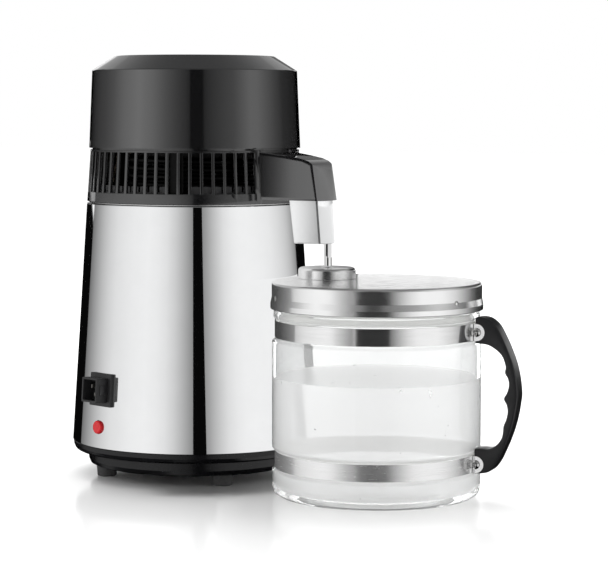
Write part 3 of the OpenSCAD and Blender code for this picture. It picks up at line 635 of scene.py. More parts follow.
def build_coil():
    path = [bez([(6.15, 0, 298), (34, 4, 298), (53.2, 46.7, 298), (21.2, 58.26, 298)], i / 12) for i in range(12)]
    path += [(62 * math.cos(math.radians(70 + 1310 * i / 132)), 62 * math.sin(math.radians(70 + 1310 * i / 132)), 298 - 27.5 * i / 132) for i in range(133)]
    path += [bez([(31, -53.7, 270.5), (58.7, -37.7, 270.4), (72, 0, 270), (106, 0, 269.5)], i / 12) for i in range(1, 13)]
    path += [(124, 0, 269), (140, 0, 268.5)]
    pts = [Vector(p) for p in path]
    rings_o, rings_i = [], []
    for i, p in enumerate(pts):
        t = (pts[min(i + 1, len(pts) - 1)] - pts[max(i - 1, 0)]).normalized()
        u = t.cross(Vector((0, 0, 1))).normalized()
        w = u.cross(t)
        for r, out in ((3.2, rings_o), (2.5, rings_i)):
            out.append([Vector((UX, UY, 0)) + p + u * r * math.cos(2 * math.pi * k / 14) + w * r * math.sin(2 * math.pi * k / 14) for k in range(14)])
    b = Build()
    b.loft(rings_o + rings_i[::-1], wrap=True)
    # the coil takes the near-black inner steel: painted shade
    b.done("coil_tube", M["inner"], "head", rep=["condenser_coil"], slot="satin_steel", sharp=50)


build_coil()


# ------------------------------------------------------------------ spout
def plan(se, we, sr, tap, bow, n=12):
    pts = [(sr, -(we + (se - sr) * tap))]
    for i in range(n + 1):
        t = -1 + 2 * i / n
        pts.append((se + bow * (1 - t * t), we * t))
    pts.append((sr, we + (se - sr) * tap))
    return pts


def build_hood():
    """Outer form cut by its side profile, edges rounded, closed underneath."""
    bm = bmesh.new()
    rows = []
    for z in (259.0, 308.0):
        k = (z - 259) / 47
        rows.append([bm.verts.new((UX + x, UY + y, z)) for x, y in plan(154 - 7.9 * k, 15 - 0.2 * k, 95, 0.168, 4)])
    lo, hi = rows
    n = len(lo)
    for k in range(n):
        bm.faces.new([lo[k], lo[(k + 1) % n], hi[(k + 1) % n], hi[k]])
    bm.faces.new(lo[::-1])
    bm.faces.new(hi)
    bmesh.ops.recalc_face_normals(bm, faces=bm.faces)
    # top planes: a long crowned slope, then the nose turned down in small steps
    prof = [(80, 304.0), (92, 302.6), (105, 301.0), (120, 299.2), (137, 296.6), (144.5, 294.3), (147.6, 292.4), (150.0, 289.9), (151.6, 287.0), (152.6, 284.0)]
    for (x0, z0), (x1, z1) in zip(prof, prof[1:]):
        nx, nz = -(z1 - z0), (x1 - x0)
        l = math.hypot(nx, nz)
        res = bmesh.ops.bisect_plane(bm, geom=bm.verts[:] + bm.edges[:] + bm.faces[:], plane_co=(UX + x0, UY, z0), plane_no=(nx / l, 0, nz / l),
                                     clear_outer=True)
        edges = [e for e in res["geom_cut"] if isinstance(e, bmesh.types.BMEdge)]
        bmesh.ops.contextual_create(bm, geom=edges)
    bmesh.ops.remove_doubles(bm, verts=bm.verts, dist=0.01)
    bmesh.ops.recalc_face_normals(bm, faces=bm.faces)
    v = [tuple(x.co) for x in bm.verts]
    bm.verts.index_update()
    f = [[x.index for x in face.verts] for face in bm.faces]
    bm.free()
    finish_mesh("hood_skin", v, f, M["hood"], "head", rep=["spout_hood"], slot="satin_black", sharp=60, bevel=(2.1, 5, 30), weighted=True)


build_hood()


def build_shroud():
    b = Build()
    rows = []
    for z in (220.4, 262.0):
        f = (z - 220.4) / (262 - 220.4)
        rows.append([(UX + x, UY + y, z) for x, y in plan(154.7 + (151.2 - 154.7) * f, 11.3 + 0.9 * f, 128.6 - 5.0 * f, 0.168, 5 - f)])
    b.loft(rows)
    b.done("nozzle_skin", M["grey"], "head", rep=["nozzle_shroud"], slot="light_grey", sharp=60, bevel=(1.2, 4, 30), weighted=True)


build_shroud()
lathe("pipe_skin", [(2.7, 200.5, 0.2), (3.6, 200.5, 0.3), (3.6, 222.3), (2.7, 222.3)], M["chrome"], "head", UX + PIPE_X, UY, ["outlet_pipe"], "polished_steel", seg=64)


# ------------------------------------------------------------------ jug
GLASS = [(0, 3.0), (70, 3.0, 2), (75.5, 0.2, 1.5), (85, 0, 3.0), (91.0, 3.2, 5.0), (92, 10.5, 6), (92, 22.6, 1.2), (89.2, 24.4, 0.9), (89.2, 41.0, 0.9), (92.3, 43.2, 1.4),
         (92.3, 137, 1.4), (89.2, 139.4, 0.9), (89.2, 157, 0.7), (91, 158.2, 0.8), (91, 162.8, 0.8), (89.6, 164, 0.5), (89.6, 184, 1.2), (86.4, 184, 1.2),
         (86.4, 157.5, 3), (85.9, 154, 3), (85.9, 140.5, 2), (89, 136.4, 2), (89, 44, 2), (85.9, 40.6, 2), (85.9, 25.4, 2), (88.6, 21.5, 2), (88.6, 11, 5), (84, 6.2, 4), (0, 6.0)]
jar = lathe("jar_glass", GLASS, M["glass"], "jug", JX, JY, ["glass_jar"], "clear_glass", seg=192, steps=5)
WATER = [(0, 5.8), (83.8, 6.0, 4), (88.8, 10.8, 5), (88.8, 21.4, 2), (86.1, 25.4, 2), (86.1, 40.7, 2), (89.2, 44.1, 2), (89.2, 105.8, 0.2), (88.6, 105.0, 0.5), (86.5, 104.8, 1), (0, 104.8)]
water = lathe("jar_water", WATER, M["water"], "jug", JX, JY, (), "clear_glass", seg=192, steps=5)
for ob in (jar, water):                # clear pieces let the soft light through
    ob.visible_diffuse = False
    ob.visible_shadow = False

HA = math.radians(17.3)
HM = Matrix.Translation((JX, JY, 0)) @ Matrix.Rotation(HA, 4, "Z")
BANDS = ((140.6, 155.7), (25.2, 40.2))
EAR_X = 93.4


def build_band(name, z0, z1, cad, mat):
    """One strip bent outwards into a flat ear at each end."""
    b = Build()
    rc, half_t, bend, ear_y = 89.7, 0.3, 2.2, 8.4
    yc = ear_y + bend
    xc = math.sqrt((rc + bend) ** 2 - yc ** 2)
    a0 = math.atan2(yc, xc)
    path = [(EAR_X + 0.02, ear_y, 0, -1)]
    for k in range(9):                          # bend from the ear into the ring
        w = -math.pi / 2 - (math.pi / 2 - a0) * k / 8
        path.append((xc + bend * math.cos(w), yc + bend * math.sin(w), math.cos(w), math.sin(w)))
    n = 180
    for i in range(1, n):
        a = a0 + (2 * math.pi - 2 * a0) * i / n
        path.append((rc * math.cos(a), rc * math.sin(a), -math.cos(a), -math.sin(a)))
    path += [(x, -y, nx, -ny) for x, y, nx, ny in path[9::-1]]
    prof = [(half_t, z0 + 0.15), (half_t - 0.15, z0), (0.15 - half_t, z0), (-half_t, z0 + 0.15),
            (-half_t, z1 - 0.15), (0.15 - half_t, z1), (half_t - 0.15, z1), (half_t, z1 - 0.15)]
    b.loft([[HM @ Vector((x + nx * q, y + ny * q, z)) for q, z in prof] for x, y, nx, ny in path])
    b.done(name, mat, "jug", rep=[cad], slot="polished_steel", sharp=40)
    b = Build()
    zc, h = (z0 + z1) / 2, (z1 - z0) / 2
    outline = [(EAR_X, z0)] + [(EAR_X + h * math.cos(t), zc + h * math.sin(t)) for t in [math.radians(-90 + 180 * k / 24) for k in range(1, 24)]] + [(EAR_X, z1)]
    for s in (-1, 1):
        rows = []
        for y, g in ((8.1, 0.12), (8.22, 0.0), (8.58, 0.0), (8.7, 0.12)):
            rows.append([HM @ Vector((EAR_X + (x - EAR_X) * (1 - g / h), s * y, zc + (z - zc) * (1 - g / h))) for x, z in outline])
        b.loft(rows)
    b.done(name + "_ears", M["ear"], "jug", rep=[cad], slot="polished_steel", sharp=40)


for name, (z0, z1), cad in (("liner_upper", BANDS[0], "upper_band"), ("liner_lower", BANDS[1], "lower_band")):
    lathe(name, [(89.24, z0 + 0.4), (89.37, z0 + 0.4), (89.37, z1 - 0.4), (89.24, z1 - 0.4)], M["silicone"], "jug", JX, JY, [cad], "polished_steel", seg=192)
build_band("band_upper", BANDS[0][0], BANDS[0][1], "upper_band", M["band"])
build_band("band_lower", BANDS[1][0], BANDS[1][1], "lower_band", M["band_low"])

GRIP_OUT = [(92.9, 161.0), (97, 161.6), (104, 160), (111, 154.4), (117, 144), (122, 133), (126.2, 122), (129.2, 109.5), (130.8, 96), (130.2, 88),
            (128.2, 76), (125.4, 65), (121.8, 54.6), (117.4, 44.2), (112.6, 34.6), (106.4, 27.4), (98, 25.1), (92.9, 24.9)]
GRIP_IN = [(92.9, 46.6), (98, 47), (106, 47.2), (112.6, 51.2), (116.8, 57.2), (118, 63), (118.4, 67.8), (120.7, 73.6), (121.9, 80.4), (120.9, 86.4), (118.5, 91.4),
           (121.3, 97), (122.8, 103.4), (121.9, 109), (119.3, 113.8), (119.8, 119.4), (117, 127.6), (112, 133), (104.8, 137.2), (98, 138.4), (92.9, 138.6)]


def build_handle():
    n = 120
    outer = resample(catmull(GRIP_OUT, 10), n)
    inner = resample(catmull(GRIP_IN[::-1], 10), n)
    rings = []
    for (ox, oz), (ix, iz) in zip(outer, inner):
        c = Vector(((ox + ix) / 2, 0, (oz + iz) / 2))
        e = Vector((ox - ix, 0, oz - iz))
        h = e.length / 2
        e.normalize()
        rings.append([HM @ (c + e * q + Vector((0, y, 0))) for y, q in rrect(9.3, h, min(1.5, h * 0.6), 5)])
    b = Build()
    b.loft(rings)
    ob = b.done("handle_grip", M["handle"], "jug", rep=["handle"], slot="black_moulding", sharp=50)
    # pockets that take the ears of the two bands
    c = Build()
    for z0, z1 in BANDS:
        zc, h = (z0 + z1) / 2, (z1 - z0) / 2 + 0.6
        outline = [(88, zc - h), (EAR_X, zc - h)] + [(EAR_X + h * math.cos(w), zc + h * math.sin(w)) for w in [math.radians(-90 + 180 * k / 24) for k in range(1, 24)]] \
            + [(EAR_X, zc + h), (88, zc + h)]
        for s in (-1, 1):
            c.loft([[HM @ Vector((x, s * y, z)) for x, z in outline] for y in (7.85, 12.0)])
    me = bpy.data.meshes.new("pockets")
    me.from_pydata([(x * MM, y * MM, z * MM) for x, y, z in c.v], [], c.f)
    bm = bmesh.new()
    bm.from_mesh(me)
    bmesh.ops.recalc_face_normals(bm, faces=bm.faces)
    bm.to_mesh(me)
    bm.free()
    co = bpy.data.objects.new("pockets", me)
    scene.collection.objects.link(co)
    mod = ob.modifiers.new("pockets", "BOOLEAN")
    mod.operation, mod.solver, mod.object = "DIFFERENCE", "EXACT", co
    new = bpy.data.meshes.new_from_object(ob.evaluated_get(bpy.context.evaluated_depsgraph_get()))
    ob.modifiers.clear()
    ob.data = new
    new.set_sharp_from_angle(angle=math.radians(40))
    bpy.data.objects.remove(co)


build_handle()


def cross_head(name, frame_m, r, h, mat, body, rep, slot, shank, shank_r):
    """Pan head screw with a cross recess cut into the head."""
    me_ob = lathe(name, [(0, -shank), (shank_r - 0.3, -shank), (shank_r, -shank + 0.5), (shank_r, 0), (r, 0, 0.15), (r, h * 0.5, h * 0.35), (r * 0.62, h * 0.96, r * 0.5), (0, h)],
                  mat, body, 0, 0, rep, slot, seg=48, frame_m=frame_m)
    cut = bpy.data.meshes.new("cut")
    bm = bmesh.new()
    for a in (0.35, 0.35 + math.pi / 2):
        box = bmesh.ops.create_cube(bm, size=1.0)["verts"]
        mat4 = frame_m @ Matrix.Rotation(a, 4, "Z") @ Matrix.Translation((0, 0, h * 1.05)) @ Matrix.Diagonal((r * 1.12, r * 0.26, h * 1.1, 1))
        for x in box:
            x.co = (mat4 @ x.co) * MM
    bm.to_mesh(cut)
    bm.free()
    co = bpy.data.objects.new("cut", cut)
    scene.collection.objects.link(co)
    mod = me_ob.modifiers.new("cross", "BOOLEAN")
    mod.operation, mod.solver, mod.object = "DIFFERENCE", "EXACT", co
    mod.use_self = True
    dg = bpy.context.evaluated_depsgraph_get()
    new = bpy.data.meshes.new_from_object(me_ob.evaluated_get(dg))
    me_ob.modifiers.clear()
    me_ob.data = new
    new.set_sharp_from_angle(angle=math.radians(35))
    bpy.data.objects.remove(co)
    return me_ob


def build_screws():
    for i, (z0, z1) in enumerate(BANDS):
        zc = (z0 + z1) / 2
        fm = HM @ Matrix.Translation((EAR_X, -8.85, zc)) @ Matrix.Rotation(math.pi / 2, 4, "X")
        cross_head("handle_screw_%d" % i, fm, 4.0, 2.5, M["screw"], "jug", ["handle_screws"], "screw_steel", 21.4, 2.0)
        b = Build()
        rows = []
        for y, rr in ((8.85, 3.6), (9.2, 4.0), (11.5, 4.0), (11.95, 3.6)):
            rows.append([HM @ Vector((EAR_X + rr * math.cos(t), y, zc + rr * math.sin(t))) for t in [math.radians(60 * k) for k in range(6)]])
        b.loft(rows)
        b.done("handle_nut_%d" % i, M["screw"], "jug", rep=["handle_nuts"], slot="screw_steel", sharp=25)


build_screws()


def build_lid():
    """Pressed lid: rolled edge, skirt with a bead, and a hole under the cap."""
    hx = CAP_X - 209.3
    seg = 192
    prof = fillet([(0, 189.5), (92.7, 189.5, 2.6), (92.7, 176.0, 2.0), (93.9, 170.5, 2.0), (93.9, 165.6, 1.1), (92.2, 165.6, 0.3), (92.2, 171.6, 0.5), (91.9, 172.8, 0.5), (91.9, 188.7, 1.8), (0, 188.7)], 8)
    n = len(prof)
    start = next(i for i in range(n) if prof[i][0].x < 1e-3 and abs(prof[i][0].y - 188.7) < 1e-3)
    prof = [prof[(start + i) % n] for i in range(n)]
    inner = [p for p in prof if p[0].x > 1e-3]
    v, f, nrm, rows = [], [], [], []
    for p, _, _ in inner:
        row = []
        for k in range(seg):
            t = 2 * math.pi * k / seg
            row.append(len(v))
            v.append((JX + p.x * math.cos(t), JY + p.x * math.sin(t), p.y))
        rows.append(row)
    for i in range(len(inner) - 1):
        n0, n1 = inner[i][2], inner[i + 1][1]
        for k in range(seg):
            k2 = (k + 1) % seg
            t0, t1 = 2 * math.pi * k / seg, 2 * math.pi * (k + 1) / seg
            f.append([rows[i][k], rows[i][k2], rows[i + 1][k2], rows[i + 1][k]])
            for nn, t in ((n0, t0), (n0, t1), (n1, t1), (n1, t0)):
                nrm.append((nn.x * math.cos(t), nn.x * math.sin(t), nn.y))
    holes = []
    for z in (inner[0][0].y, inner[-1][0].y):
        row = []
        for k in range(seg):
            t = 2 * math.pi * k / seg
            row.append(len(v))
            v.append((JX + hx + 10.1 * math.cos(t), JY + 10.1 * math.sin(t), z))
        holes.append(row)
    for row, hole, up in ((rows[0], holes[0], -1), (rows[-1], holes[1], 1)):
        for k in range(seg):
            k2 = (k + 1) % seg
            face = [row[k], row[k2], hole[k2], hole[k]]
            if up < 0:
                face.reverse()
            f.append(face)
            nrm += [(0, 0, up)] * 4
    for k in range(seg):
        k2 = (k + 1) % seg
        f.append([holes[1][k], holes[1][k2], holes[0][k2], holes[0][k]])
        for t in (k, k + 1, k + 1, k):
            w = 2 * math.pi * t / seg
            nrm.append((-math.cos(w), -math.sin(w), 0))
    finish_mesh("lid_skin", v, f, M["lid"], "lid", rep=["lid"], slot="polished_steel", loop_normals=nrm, recalc=False)


build_lid()
lathe("cap_skin", [(6, 199.5, 0.6), (25.8, 199.5, 3.0), (25.8, 189.55, 0.3), (10, 189.55), (10, 184.6, 0.3), (6, 184.6, 0.3)], M["cap"], "lid", JX + CAP_X - 209.3, JY, ["inlet_cap"], "polished_steel", seg=128, steps=8)
for i, a in enumerate((-127.4, -7.4, 112.6)):
    lathe("lid_stud_%d" % i, [(0, 90.3), (2, 90.3, 0.2), (2, 91.8), (1.25, 91.8), (1.25, 92.75), (2.2, 92.75, 0.1), (2.1, 93.4, 0.5), (0, 93.85)], M["screw"], "lid", 0, 0, ["lid_rivets"], "screw_steel", seg=40,
          frame_m=Matrix.Translation((JX, JY, 175.4)) @ Matrix.Rotation(math.radians(a), 4, "Z") @ Matrix.Rotation(math.pi / 2, 4, "Y"))

# ------------------------------------------------------------------ CAD nodes that stay
STAY = {
    "boiler_pot": "satin", "pot_rim": "satin", "pot_floor": "satin", "heater_plate": "alu", "heating_element": "dark_steel", "thermostat": "inlet", "thermal_fuse": "white", "base_pan": "base",
    "foot_screws": "screw", "reset_switch": "inlet", "reset_spring": "screw", "lead_wires": "wire", "fan_socket": "inlet", "cover_screws": "screw",
    # drum: the black air drum, painted shade inside the head
    # inner: near-black steel, painted shade inside the head
    "steam_dome": "inner", "seal_ring": "silicone", "dome_screws": "screw", "dome_nuts": "screw", "steam_riser": "inner", "air_drum": "drum", "motor_bracket": "inner",
    "fan_motor": "motor", "motor_screws": "screw", "fan_leads": "wire", "fan_plug": "inlet", "motor_shaft": "screw", "fan_rotor": "fan",
    "charcoal_pod": "white", "lid_seal": "silicone",
}
for name, key in STAY.items():
    ob = NODES[name]
    ob.data.materials.clear()
    ob.data.materials.append(M[key])


# ------------------------------------------------------------------ studio
def local(right, toward, z):
    """Point in metres from millimetres to the right of and towards the camera from the boiler's axis."""
    p = Vector((UX, UY, 0)) + RGT * right - FWD * toward
    return (p.x * MM, p.y * MM, z * MM)


def gradient(nt, source, stops, kind="EASE"):
    """Colour ramp of grey stops (0 to 1) read along the given output."""
    ramp = node(nt, "ShaderNodeValToRGB")
    ramp.color_ramp.interpolation = kind
    els = ramp.color_ramp.elements
    while len(els) < len(stops):
        els.new(0.5)
    for e, (p, c) in zip(els, stops):
        e.position, e.color = p, (c, c, c, 1)
    nt.links.new(source, ramp.inputs["Fac"])
    return ramp.outputs["Color"]


def card(name, verts, faces, uvs, stops, back=None, strength=1.0):
    """Soft light card seen in reflections only; stops shade it along its length."""
    me = bpy.data.meshes.new(name)
    me.from_pydata(verts, [], faces)
    layer = me.uv_layers.new(name="UVMap")
    for k, uv in enumerate(uvs):
        layer.data[k].uv = uv
    m = bpy.data.materials.new(name)
    m.use_nodes = True
    nt = m.node_tree
    nt.nodes.clear()
    out = node(nt, "ShaderNodeOutputMaterial")
    em = node(nt, "ShaderNodeEmission", Strength=strength)
    uv = node(nt, "ShaderNodeUVMap")
    sep = node(nt, "ShaderNodeSeparateXYZ")
    nt.links.new(uv.outputs["UV"], sep.inputs["Vector"])
    nt.links.new(gradient(nt, sep.outputs["X"], stops, "LINEAR"), em.inputs["Color"])
    surface = em.outputs["Emission"]
    if back:
        em2 = node(nt, "ShaderNodeEmission", Strength=strength)
        nt.links.new(gradient(nt, sep.outputs["X"], back, "LINEAR"), em2.inputs["Color"])
        geo = node(nt, "ShaderNodeNewGeometry")
        mix = node(nt, "ShaderNodeMixShader")
        nt.links.new(geo.outputs["Backfacing"], mix.inputs["Fac"])
        nt.links.new(surface, mix.inputs[1])
        nt.links.new(em2.outputs["Emission"], mix.inputs[2])
        surface = mix.outputs["Shader"]
    nt.links.new(surface, out.inputs["Surface"])
    me.materials.append(m)
    ob = bpy.data.objects.new(name, me)
    scene.collection.objects.link(ob)
    ob.visible_camera = False
    ob.visible_transmission = False
    ob.visible_shadow = False
    ob.visible_diffuse = False
    return ob


CAM_AZ = 2.83                   # the camera stands this far to the right of the view axis, seen from the boiler


def rim(d, a):
    """Height where the shell's cards end and the cover's cards begin, at distance d and a degrees from the camera."""
    return 279.5 + (d - 110) * math.tan(math.radians(6.2 * math.cos(math.radians(a / 2)) - 1.67))


def panel(name, dist, stops, z0=None, z1=None, strength=1.0):
    """Upright curved card round the boiler: dist and stops are given by degrees from the camera's direction."""
    n = 64
    a0, a1 = stops[0][0], stops[-1][0]
    verts, faces, uvs = [], [], []
    for i in range(n + 1):
        a = a0 + (a1 - a0) * i / n
        k = 0
        while k < len(dist) - 2 and a > dist[k + 1][0]:
            k += 1
        (p0, d0), (p1, d1) = dist[k], dist[k + 1]
        f = min(1.0, max(0.0, (a - p0) / (p1 - p0)))
        d = d0 + (d1 - d0) * f
        w = math.radians(a + CAM_AZ)
        for z in (rim(d, a) if z0 is None else z0, rim(d, a) if z1 is None else z1):
            verts.append(local(d * math.sin(w), d * math.cos(w), z))
    for i in range(n):
        faces.append([2 * i, 2 * i + 2, 2 * i + 3, 2 * i + 1])
        uvs += [(i / n, 0), ((i + 1) / n, 0), ((i + 1) / n, 1), (i / n, 1)]
    return card(name, verts, faces, uvs, [((a - a0) / (a1 - a0), c) for a, c in stops], strength=strength)


def arc(name, cx, cy, rows, stops, strength=1.0):
    """Small card bent round a point of the spout, dark outside; rows are (radius, height), stops are given by degrees from the view axis."""
    n = 32
    a0, a1 = stops[0][0], stops[-1][0]
    verts, faces, uvs = [], [], []
    for i in range(n + 1):
        w = math.radians(a0 + (a1 - a0) * i / n)
        for r, z in rows:
            q = Vector((UX + cx, UY + cy, 0)) + (RGT * math.sin(w) - FWD * math.cos(w)) * r
            verts.append((q.x * MM, q.y * MM, z * MM))
    m = len(rows)
    for i in range(n):
        for k in range(m - 1):
            faces.append([m * i + k, m * i + m + k, m * i + m + k + 1, m * i + k + 1])
            uvs += [(i / n, 0), ((i + 1) / n, 0), ((i + 1) / n, 1), (i / n, 1)]
    return card(name, verts, faces, uvs, [(0.0, 0.0), (1.0, 0.0)], [((a - a0) / (a1 - a0), c) for a, c in stops], strength)


def side_card(name, z0, z1, back, far):
    """Flat card between the boiler and the jug; its front shades the boiler, its back the jug."""
    x, y1 = UX + 116, 100

    def edge(z):
        return -110.3 - 0.0267 * (z - 46)

    pts = [(edge(z0), z0), (edge(z1), z1), (y1, z1), (y1, z0)]
    verts = [(x * MM, (UY + y) * MM, z * MM) for y, z in pts]
    front = [(-118, 0.29), (-112, 0.32), (-102, 0.42), (-86.2, 0.63), (-71.9, 0.83), (-59.6, 0.94), (-49.4, 0.99), (-37, 1.0)] + far
    return card(name, verts, [[0, 1, 2, 3]], [((y + 120) / 220, z / 300) for y, z in pts], [((y + 120) / 220, c) for y, c in front],
                [((y + 120) / 220, c) for y, c in back])


panel("card_left", [(-141, 1000), (-60, 1000), (-45, 800), (-30, 560), (-20, 470), (0, 470)],
      [(-129, 0.18), (-122, 0.28), (-113, 0.41), (-104, 0.56), (-94, 0.71), (-83, 0.84), (-62, 0.955), (-46, 0.985), (-35, 0.94), (-25.8, 0.857), (-18.1, 0.71),
       (-10.5, 0.51), (-2.9, 0.31), (-2.0, 0.29)], z0=-600)
panel("card_right", [(13, 1750), (150, 1750)],
      [(13.7, 0.15), (23.6, 0.5), (32.5, 0.8), (41.4, 0.98), (63.5, 1.0), (81.4, 0.75), (97.7, 0.4), (113.6, 0.1), (125, 0.02)], z0=-900)
panel("card_upper", [(-154, 1000), (150, 1000)],
      [(-154, 0.0), (-137, 0.05), (-129, 0.088), (-111, 0.2), (-97, 0.36), (-85, 0.61), (-80, 0.72), (-61, 1.0), (-45, 0.8), (-30, 0.47), (-19, 0.29), (-8, 0.15),
       (-5.5, 0.1), (-4.5, 0.02), (8, 0.02), (9.5, 0.1), (12, 0.14), (22, 0.23), (32, 0.31), (41, 0.38), (50, 0.56), (60, 0.76), (69, 0.73), (82, 0.48), (94, 0.27), (108, 0.1),
       (125, 0.045), (136, 0.03), (150, 0.0)], z1=900)
panel("card_edge_left", [(-179, 1000), (-154, 1000)], [(-179, 0.0), (-154, 0.0)], 310, 480)
panel("card_edge_right", [(150, 1000), (179, 1000)], [(150, 0.0), (179, 0.0)], 310, 480)
panel("card_limb_right", [(125, 220), (179, 220)], [(125, 0.0), (179, 0.0)], 286, 350)
arc("card_nose", 154, 0, [(22, 256), (22, 300), (9, 309)], [(5, 0.92), (50, 0.93), (101, 0.8), (128, 0.56), (145, 0.43), (156, 0.33), (172, 0.26)], 1.15)
arc("card_nozzle_front", 153, 0, [(22, 207), (22, 256)], [(5, 0.74), (101, 0.83), (156, 0.97), (172, 1.0)])
arc("card_ridge", 151.5, -14.5, [(12, 208), (12, 304)], [(-50, 0.0), (44, 0.0)])
brow = [(x, y + 8 * math.cos(math.radians(el)) * sy, z + 8 * math.sin(math.radians(el))) for el in (10, 40, 70, 100, 130) for x, y, z, sy in ((119, -20.5, 299.3, -1), (147, -14.9, 293.4, -1))]
card("card_brow", [((UX + x) * MM, (UY + y) * MM, z * MM) for x, y, z in brow], [[2 * i, 2 * i + 1, 2 * i + 3, 2 * i + 2] for i in range(4)], [(0, 0), (1, 0), (1, 1), (0, 1)] * 4, [(0.0, 0.0), (1.0, 0.0)])
panel("card_jug", [(-60, 2600), (-20, 2600)], [(-60, 0.95), (-34, 0.95), (-28, 0.75), (-22.5, 0.35)], z0=-900, z1=200)
card("card_back", [local(x, -1000, z) for x, z in ((-10, 420), (230, 420), (230, 720), (-10, 720))], [[0, 1, 2, 3]], [(0, 0), (1, 0), (1, 1), (0, 1)], [(0.0, 0.16), (1.0, 0.16)])
card("card_lid", [local(x, -700, z) for x, z in ((20, 120), (330, 120), (330, 300), (20, 300))], [[0, 1, 2, 3]], [(0, 0), (1, 0), (1, 1), (0, 1)], [(0.0, 1.0), (1.0, 1.0)], strength=1.4)
flag = [(108, 214), (108, 261), (146, 261), (146, 214)]
card("card_nozzle", [((UX + x) * MM, (UY - 45) * MM, z * MM) for x, z in flag], [[0, 1, 2, 3]], [((x - 108) / 38, z / 400) for x, z in flag],
     [((x - 108) / 38, c) for x, c in ((112, 1.0), (120, 0.9), (128, 0.73), (134, 0.58), (142, 0.38))])
side_card("card_side_low", 2, 188, [(-118, 0.3), (-90, 0.15), (-65, 0.05), (0, 0.03), (100, 0.03)],
          [(-18.7, 1.0), (55, 0.97), (95, 0.92)])
side_card("card_side_high", 188, 260, [(-118, 0.4), (-62, 0.4), (-50, 0.65), (-38, 0.85), (0, 0.7), (40, 0.4), (100, 0.2)],
          [(-18.7, 0.97), (-6.4, 0.92), (15.1, 0.76), (55, 0.45), (95, 0.25)])
flag = [(86, 262), (150, 262), (146, 303), (86, 303)]
card("card_spout_edge", [((UX + x) * MM, (UY - 51) * MM, z * MM) for x, z in flag], [[0, 1, 2, 3]], [(0, 0), (1, 0), (1, 1), (0, 1)], [(0.0, 0.0), (1.0, 0.0)])
flag = [(86, 262), (140.9, 262), (135.1, 291.5), (133.2, 292.6), (127, 295.1), (110, 297.7), (95, 299.5), (86, 300)]
card("card_spout", [((UX + x) * MM, (UY - 50) * MM, z * MM) for x, z in flag], [list(range(8))], [((x - 84) / 64, z / 400) for x, z in flag],
     [((x - 84) / 64, c) for x, c in ((88, 0.06), (94, 0.15), (100, 0.25), (106, 0.4), (111.7, 0.58), (118, 0.78), (124, 0.85), (140, 0.93))])

floor_me = bpy.data.meshes.new("floor")
floor_me.from_pydata([(-14, -14, 0), (14, -14, 0), (14, 14, 0), (-14, 14, 0)], [], [[0, 1, 2, 3]])
floor = bpy.data.objects.new("floor", floor_me)
scene.collection.objects.link(floor)
M["floor"] = material("floor", (0.9, 0.9, 0.9), 0.13, 0.0, spread=0.004, scale=2, rough_spread=0.05, Specular_IOR_Level=0.33)
floor_me.materials.append(M["floor"])
# the floor's shine fades out away from the part, where only the dark studio would show in it
floor_nt = M["floor"].node_tree
reach = node(floor_nt, "ShaderNodeVectorMath", _operation="LENGTH")
floor_nt.links.new(node(floor_nt, "ShaderNodeNewGeometry").outputs["Position"], reach.inputs[0])
fade = node(floor_nt, "ShaderNodeMapRange", _interpolation_type="SMOOTHSTEP")
for k, val in (("From Min", 0.55), ("From Max", 1.3), ("To Min", 0.33), ("To Max", 0.0)):
    fade.inputs[k].default_value = val
floor_nt.links.new(reach.outputs["Value"], fade.inputs["Value"])
floor_bsdf = next(n for n in floor_nt.nodes if n.type == "BSDF_PRINCIPLED")
floor_nt.links.new(fade.outputs["Result"], floor_bsdf.inputs["Specular IOR Level"])
floor.visible_glossy = False

# low flag between boiler and jug: deepens the floor's shadow there and is seen by nothing else
verts, faces, uvs = [], [], []
for i in range(25):
    w = math.radians(-14 + 56 * i / 24)
    verts += [local(r * math.sin(w), r * math.cos(w), 22) for r in (115, 141)]
for i in range(24):
    faces.append([2 * i, 2 * i + 1, 2 * i + 3, 2 * i + 2])
    uvs += [(0, 0), (1, 0), (1, 1), (0, 1)]
shade = card("shade_floor", verts, faces, uvs, [(0.0, 0.0), (1.0, 0.0)])
shade.visible_diffuse = shade.visible_shadow = True
shade.visible_glossy = False

world = bpy.data.worlds.new("studio")
scene.world = world
world.cycles.sampling_method = "NONE"     # smooth world: found by the rays themselves
world.use_nodes = True
wt = world.node_tree
wt.nodes.clear()
w_out = node(wt, "ShaderNodeOutputWorld")
tc = node(wt, "ShaderNodeTexCoord")
sep = node(wt, "ShaderNodeSeparateXYZ")
wt.links.new(tc.outputs["Generated"], sep.inputs["Vector"])
front = node(wt, "ShaderNodeVectorMath", _operation="DOT_PRODUCT")
front.inputs[1].default_value = (-FWD.x, -FWD.y, 0)
wt.links.new(tc.outputs["Generated"], front.inputs[0])


def smooth_step(source, a, b, lo, hi):
    n = node(wt, "ShaderNodeMapRange", _interpolation_type="SMOOTHSTEP")
    for k, val in (("From Min", a), ("From Max", b), ("To Min", lo), ("To Max", hi)):
        n.inputs[k].default_value = val
    wt.links.new(source, n.inputs["Value"])
    return n.outputs["Result"]


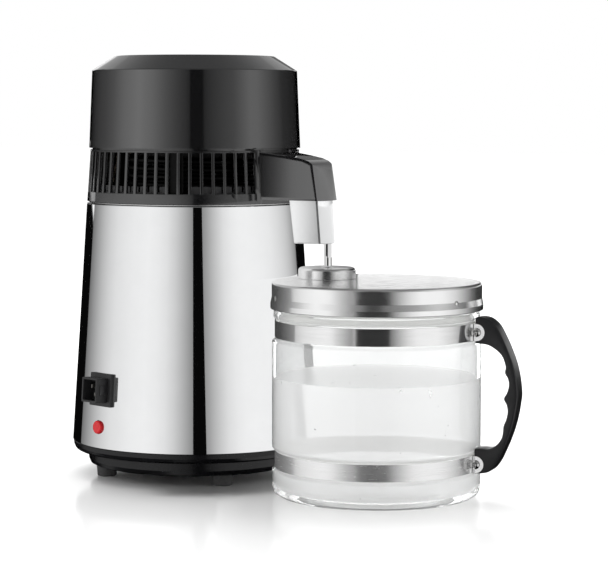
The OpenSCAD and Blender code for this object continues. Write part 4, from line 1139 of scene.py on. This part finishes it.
def math_node(op, a, b):
    n = node(wt, "ShaderNodeMath", _operation=op)
    for k, x in enumerate((a, b)):
        if isinstance(x, (int, float)):
            n.inputs[k].default_value = x
        else:
            wt.links.new(x, n.inputs[k])
    return n.outputs["Value"]


up = sep.outputs["Z"]
behind = math_node("MULTIPLY", smooth_step(front.outputs["Value"], -0.55, -0.35, 1.0, 0.0), smooth_step(up, -0.004, 0.002, 0.0, 1.1))
behind = math_node("MULTIPLY", behind, smooth_step(up, 0.13, 0.3, 1.0, 0.4))
behind = math_node("MULTIPLY", behind, smooth_step(up, 0.5, 0.65, 1.0, 0.0))
overhead = math_node("MULTIPLY", smooth_step(up, 0.4, 0.55, 0.0, 1.0), smooth_step(up, 0.55, 0.95, 0.355, 0.155))
gloss = math_node("MAXIMUM", math_node("MAXIMUM", behind, overhead), 0.0025)
path = node(wt, "ShaderNodeLightPath")
fill = node(wt, "ShaderNodeBackground")
fill.inputs["Color"].default_value = (1, 1, 1, 1)
soft = math_node("ADD", math_node("MULTIPLY", front.outputs["Value"], -0.6), 0.25)      # more of it from behind
soft = math_node("MULTIPLY", path.outputs["Is Diffuse Ray"], soft)
soft = math_node("ADD", soft, math_node("MULTIPLY", path.outputs["Is Transmission Ray"], 0.25))
wt.links.new(math_node("ADD", soft, 1.0), fill.inputs["Strength"])
shine = node(wt, "ShaderNodeBackground", Strength=1.0)
wt.links.new(gloss, shine.inputs["Color"])
mix = node(wt, "ShaderNodeMixShader")
wt.links.new(path.outputs["Is Glossy Ray"], mix.inputs["Fac"])
wt.links.new(fill.outputs["Background"], mix.inputs[1])
wt.links.new(shine.outputs["Background"], mix.inputs[2])
wt.links.new(mix.outputs["Shader"], w_out.inputs["Surface"])

top = bpy.data.lights.new("top_soft", "AREA")
top.shape, top.size, top.size_y, top.energy = "RECTANGLE", 2.4, 1.6, 45.0
top_ob = bpy.data.objects.new("top_soft", top)
scene.collection.objects.link(top_ob)
top_ob.location = local(-100, -900, 2000)
top_ob.rotation_euler = (0, 0, AZ)
top_ob.visible_glossy = False
top_ob.visible_camera = False
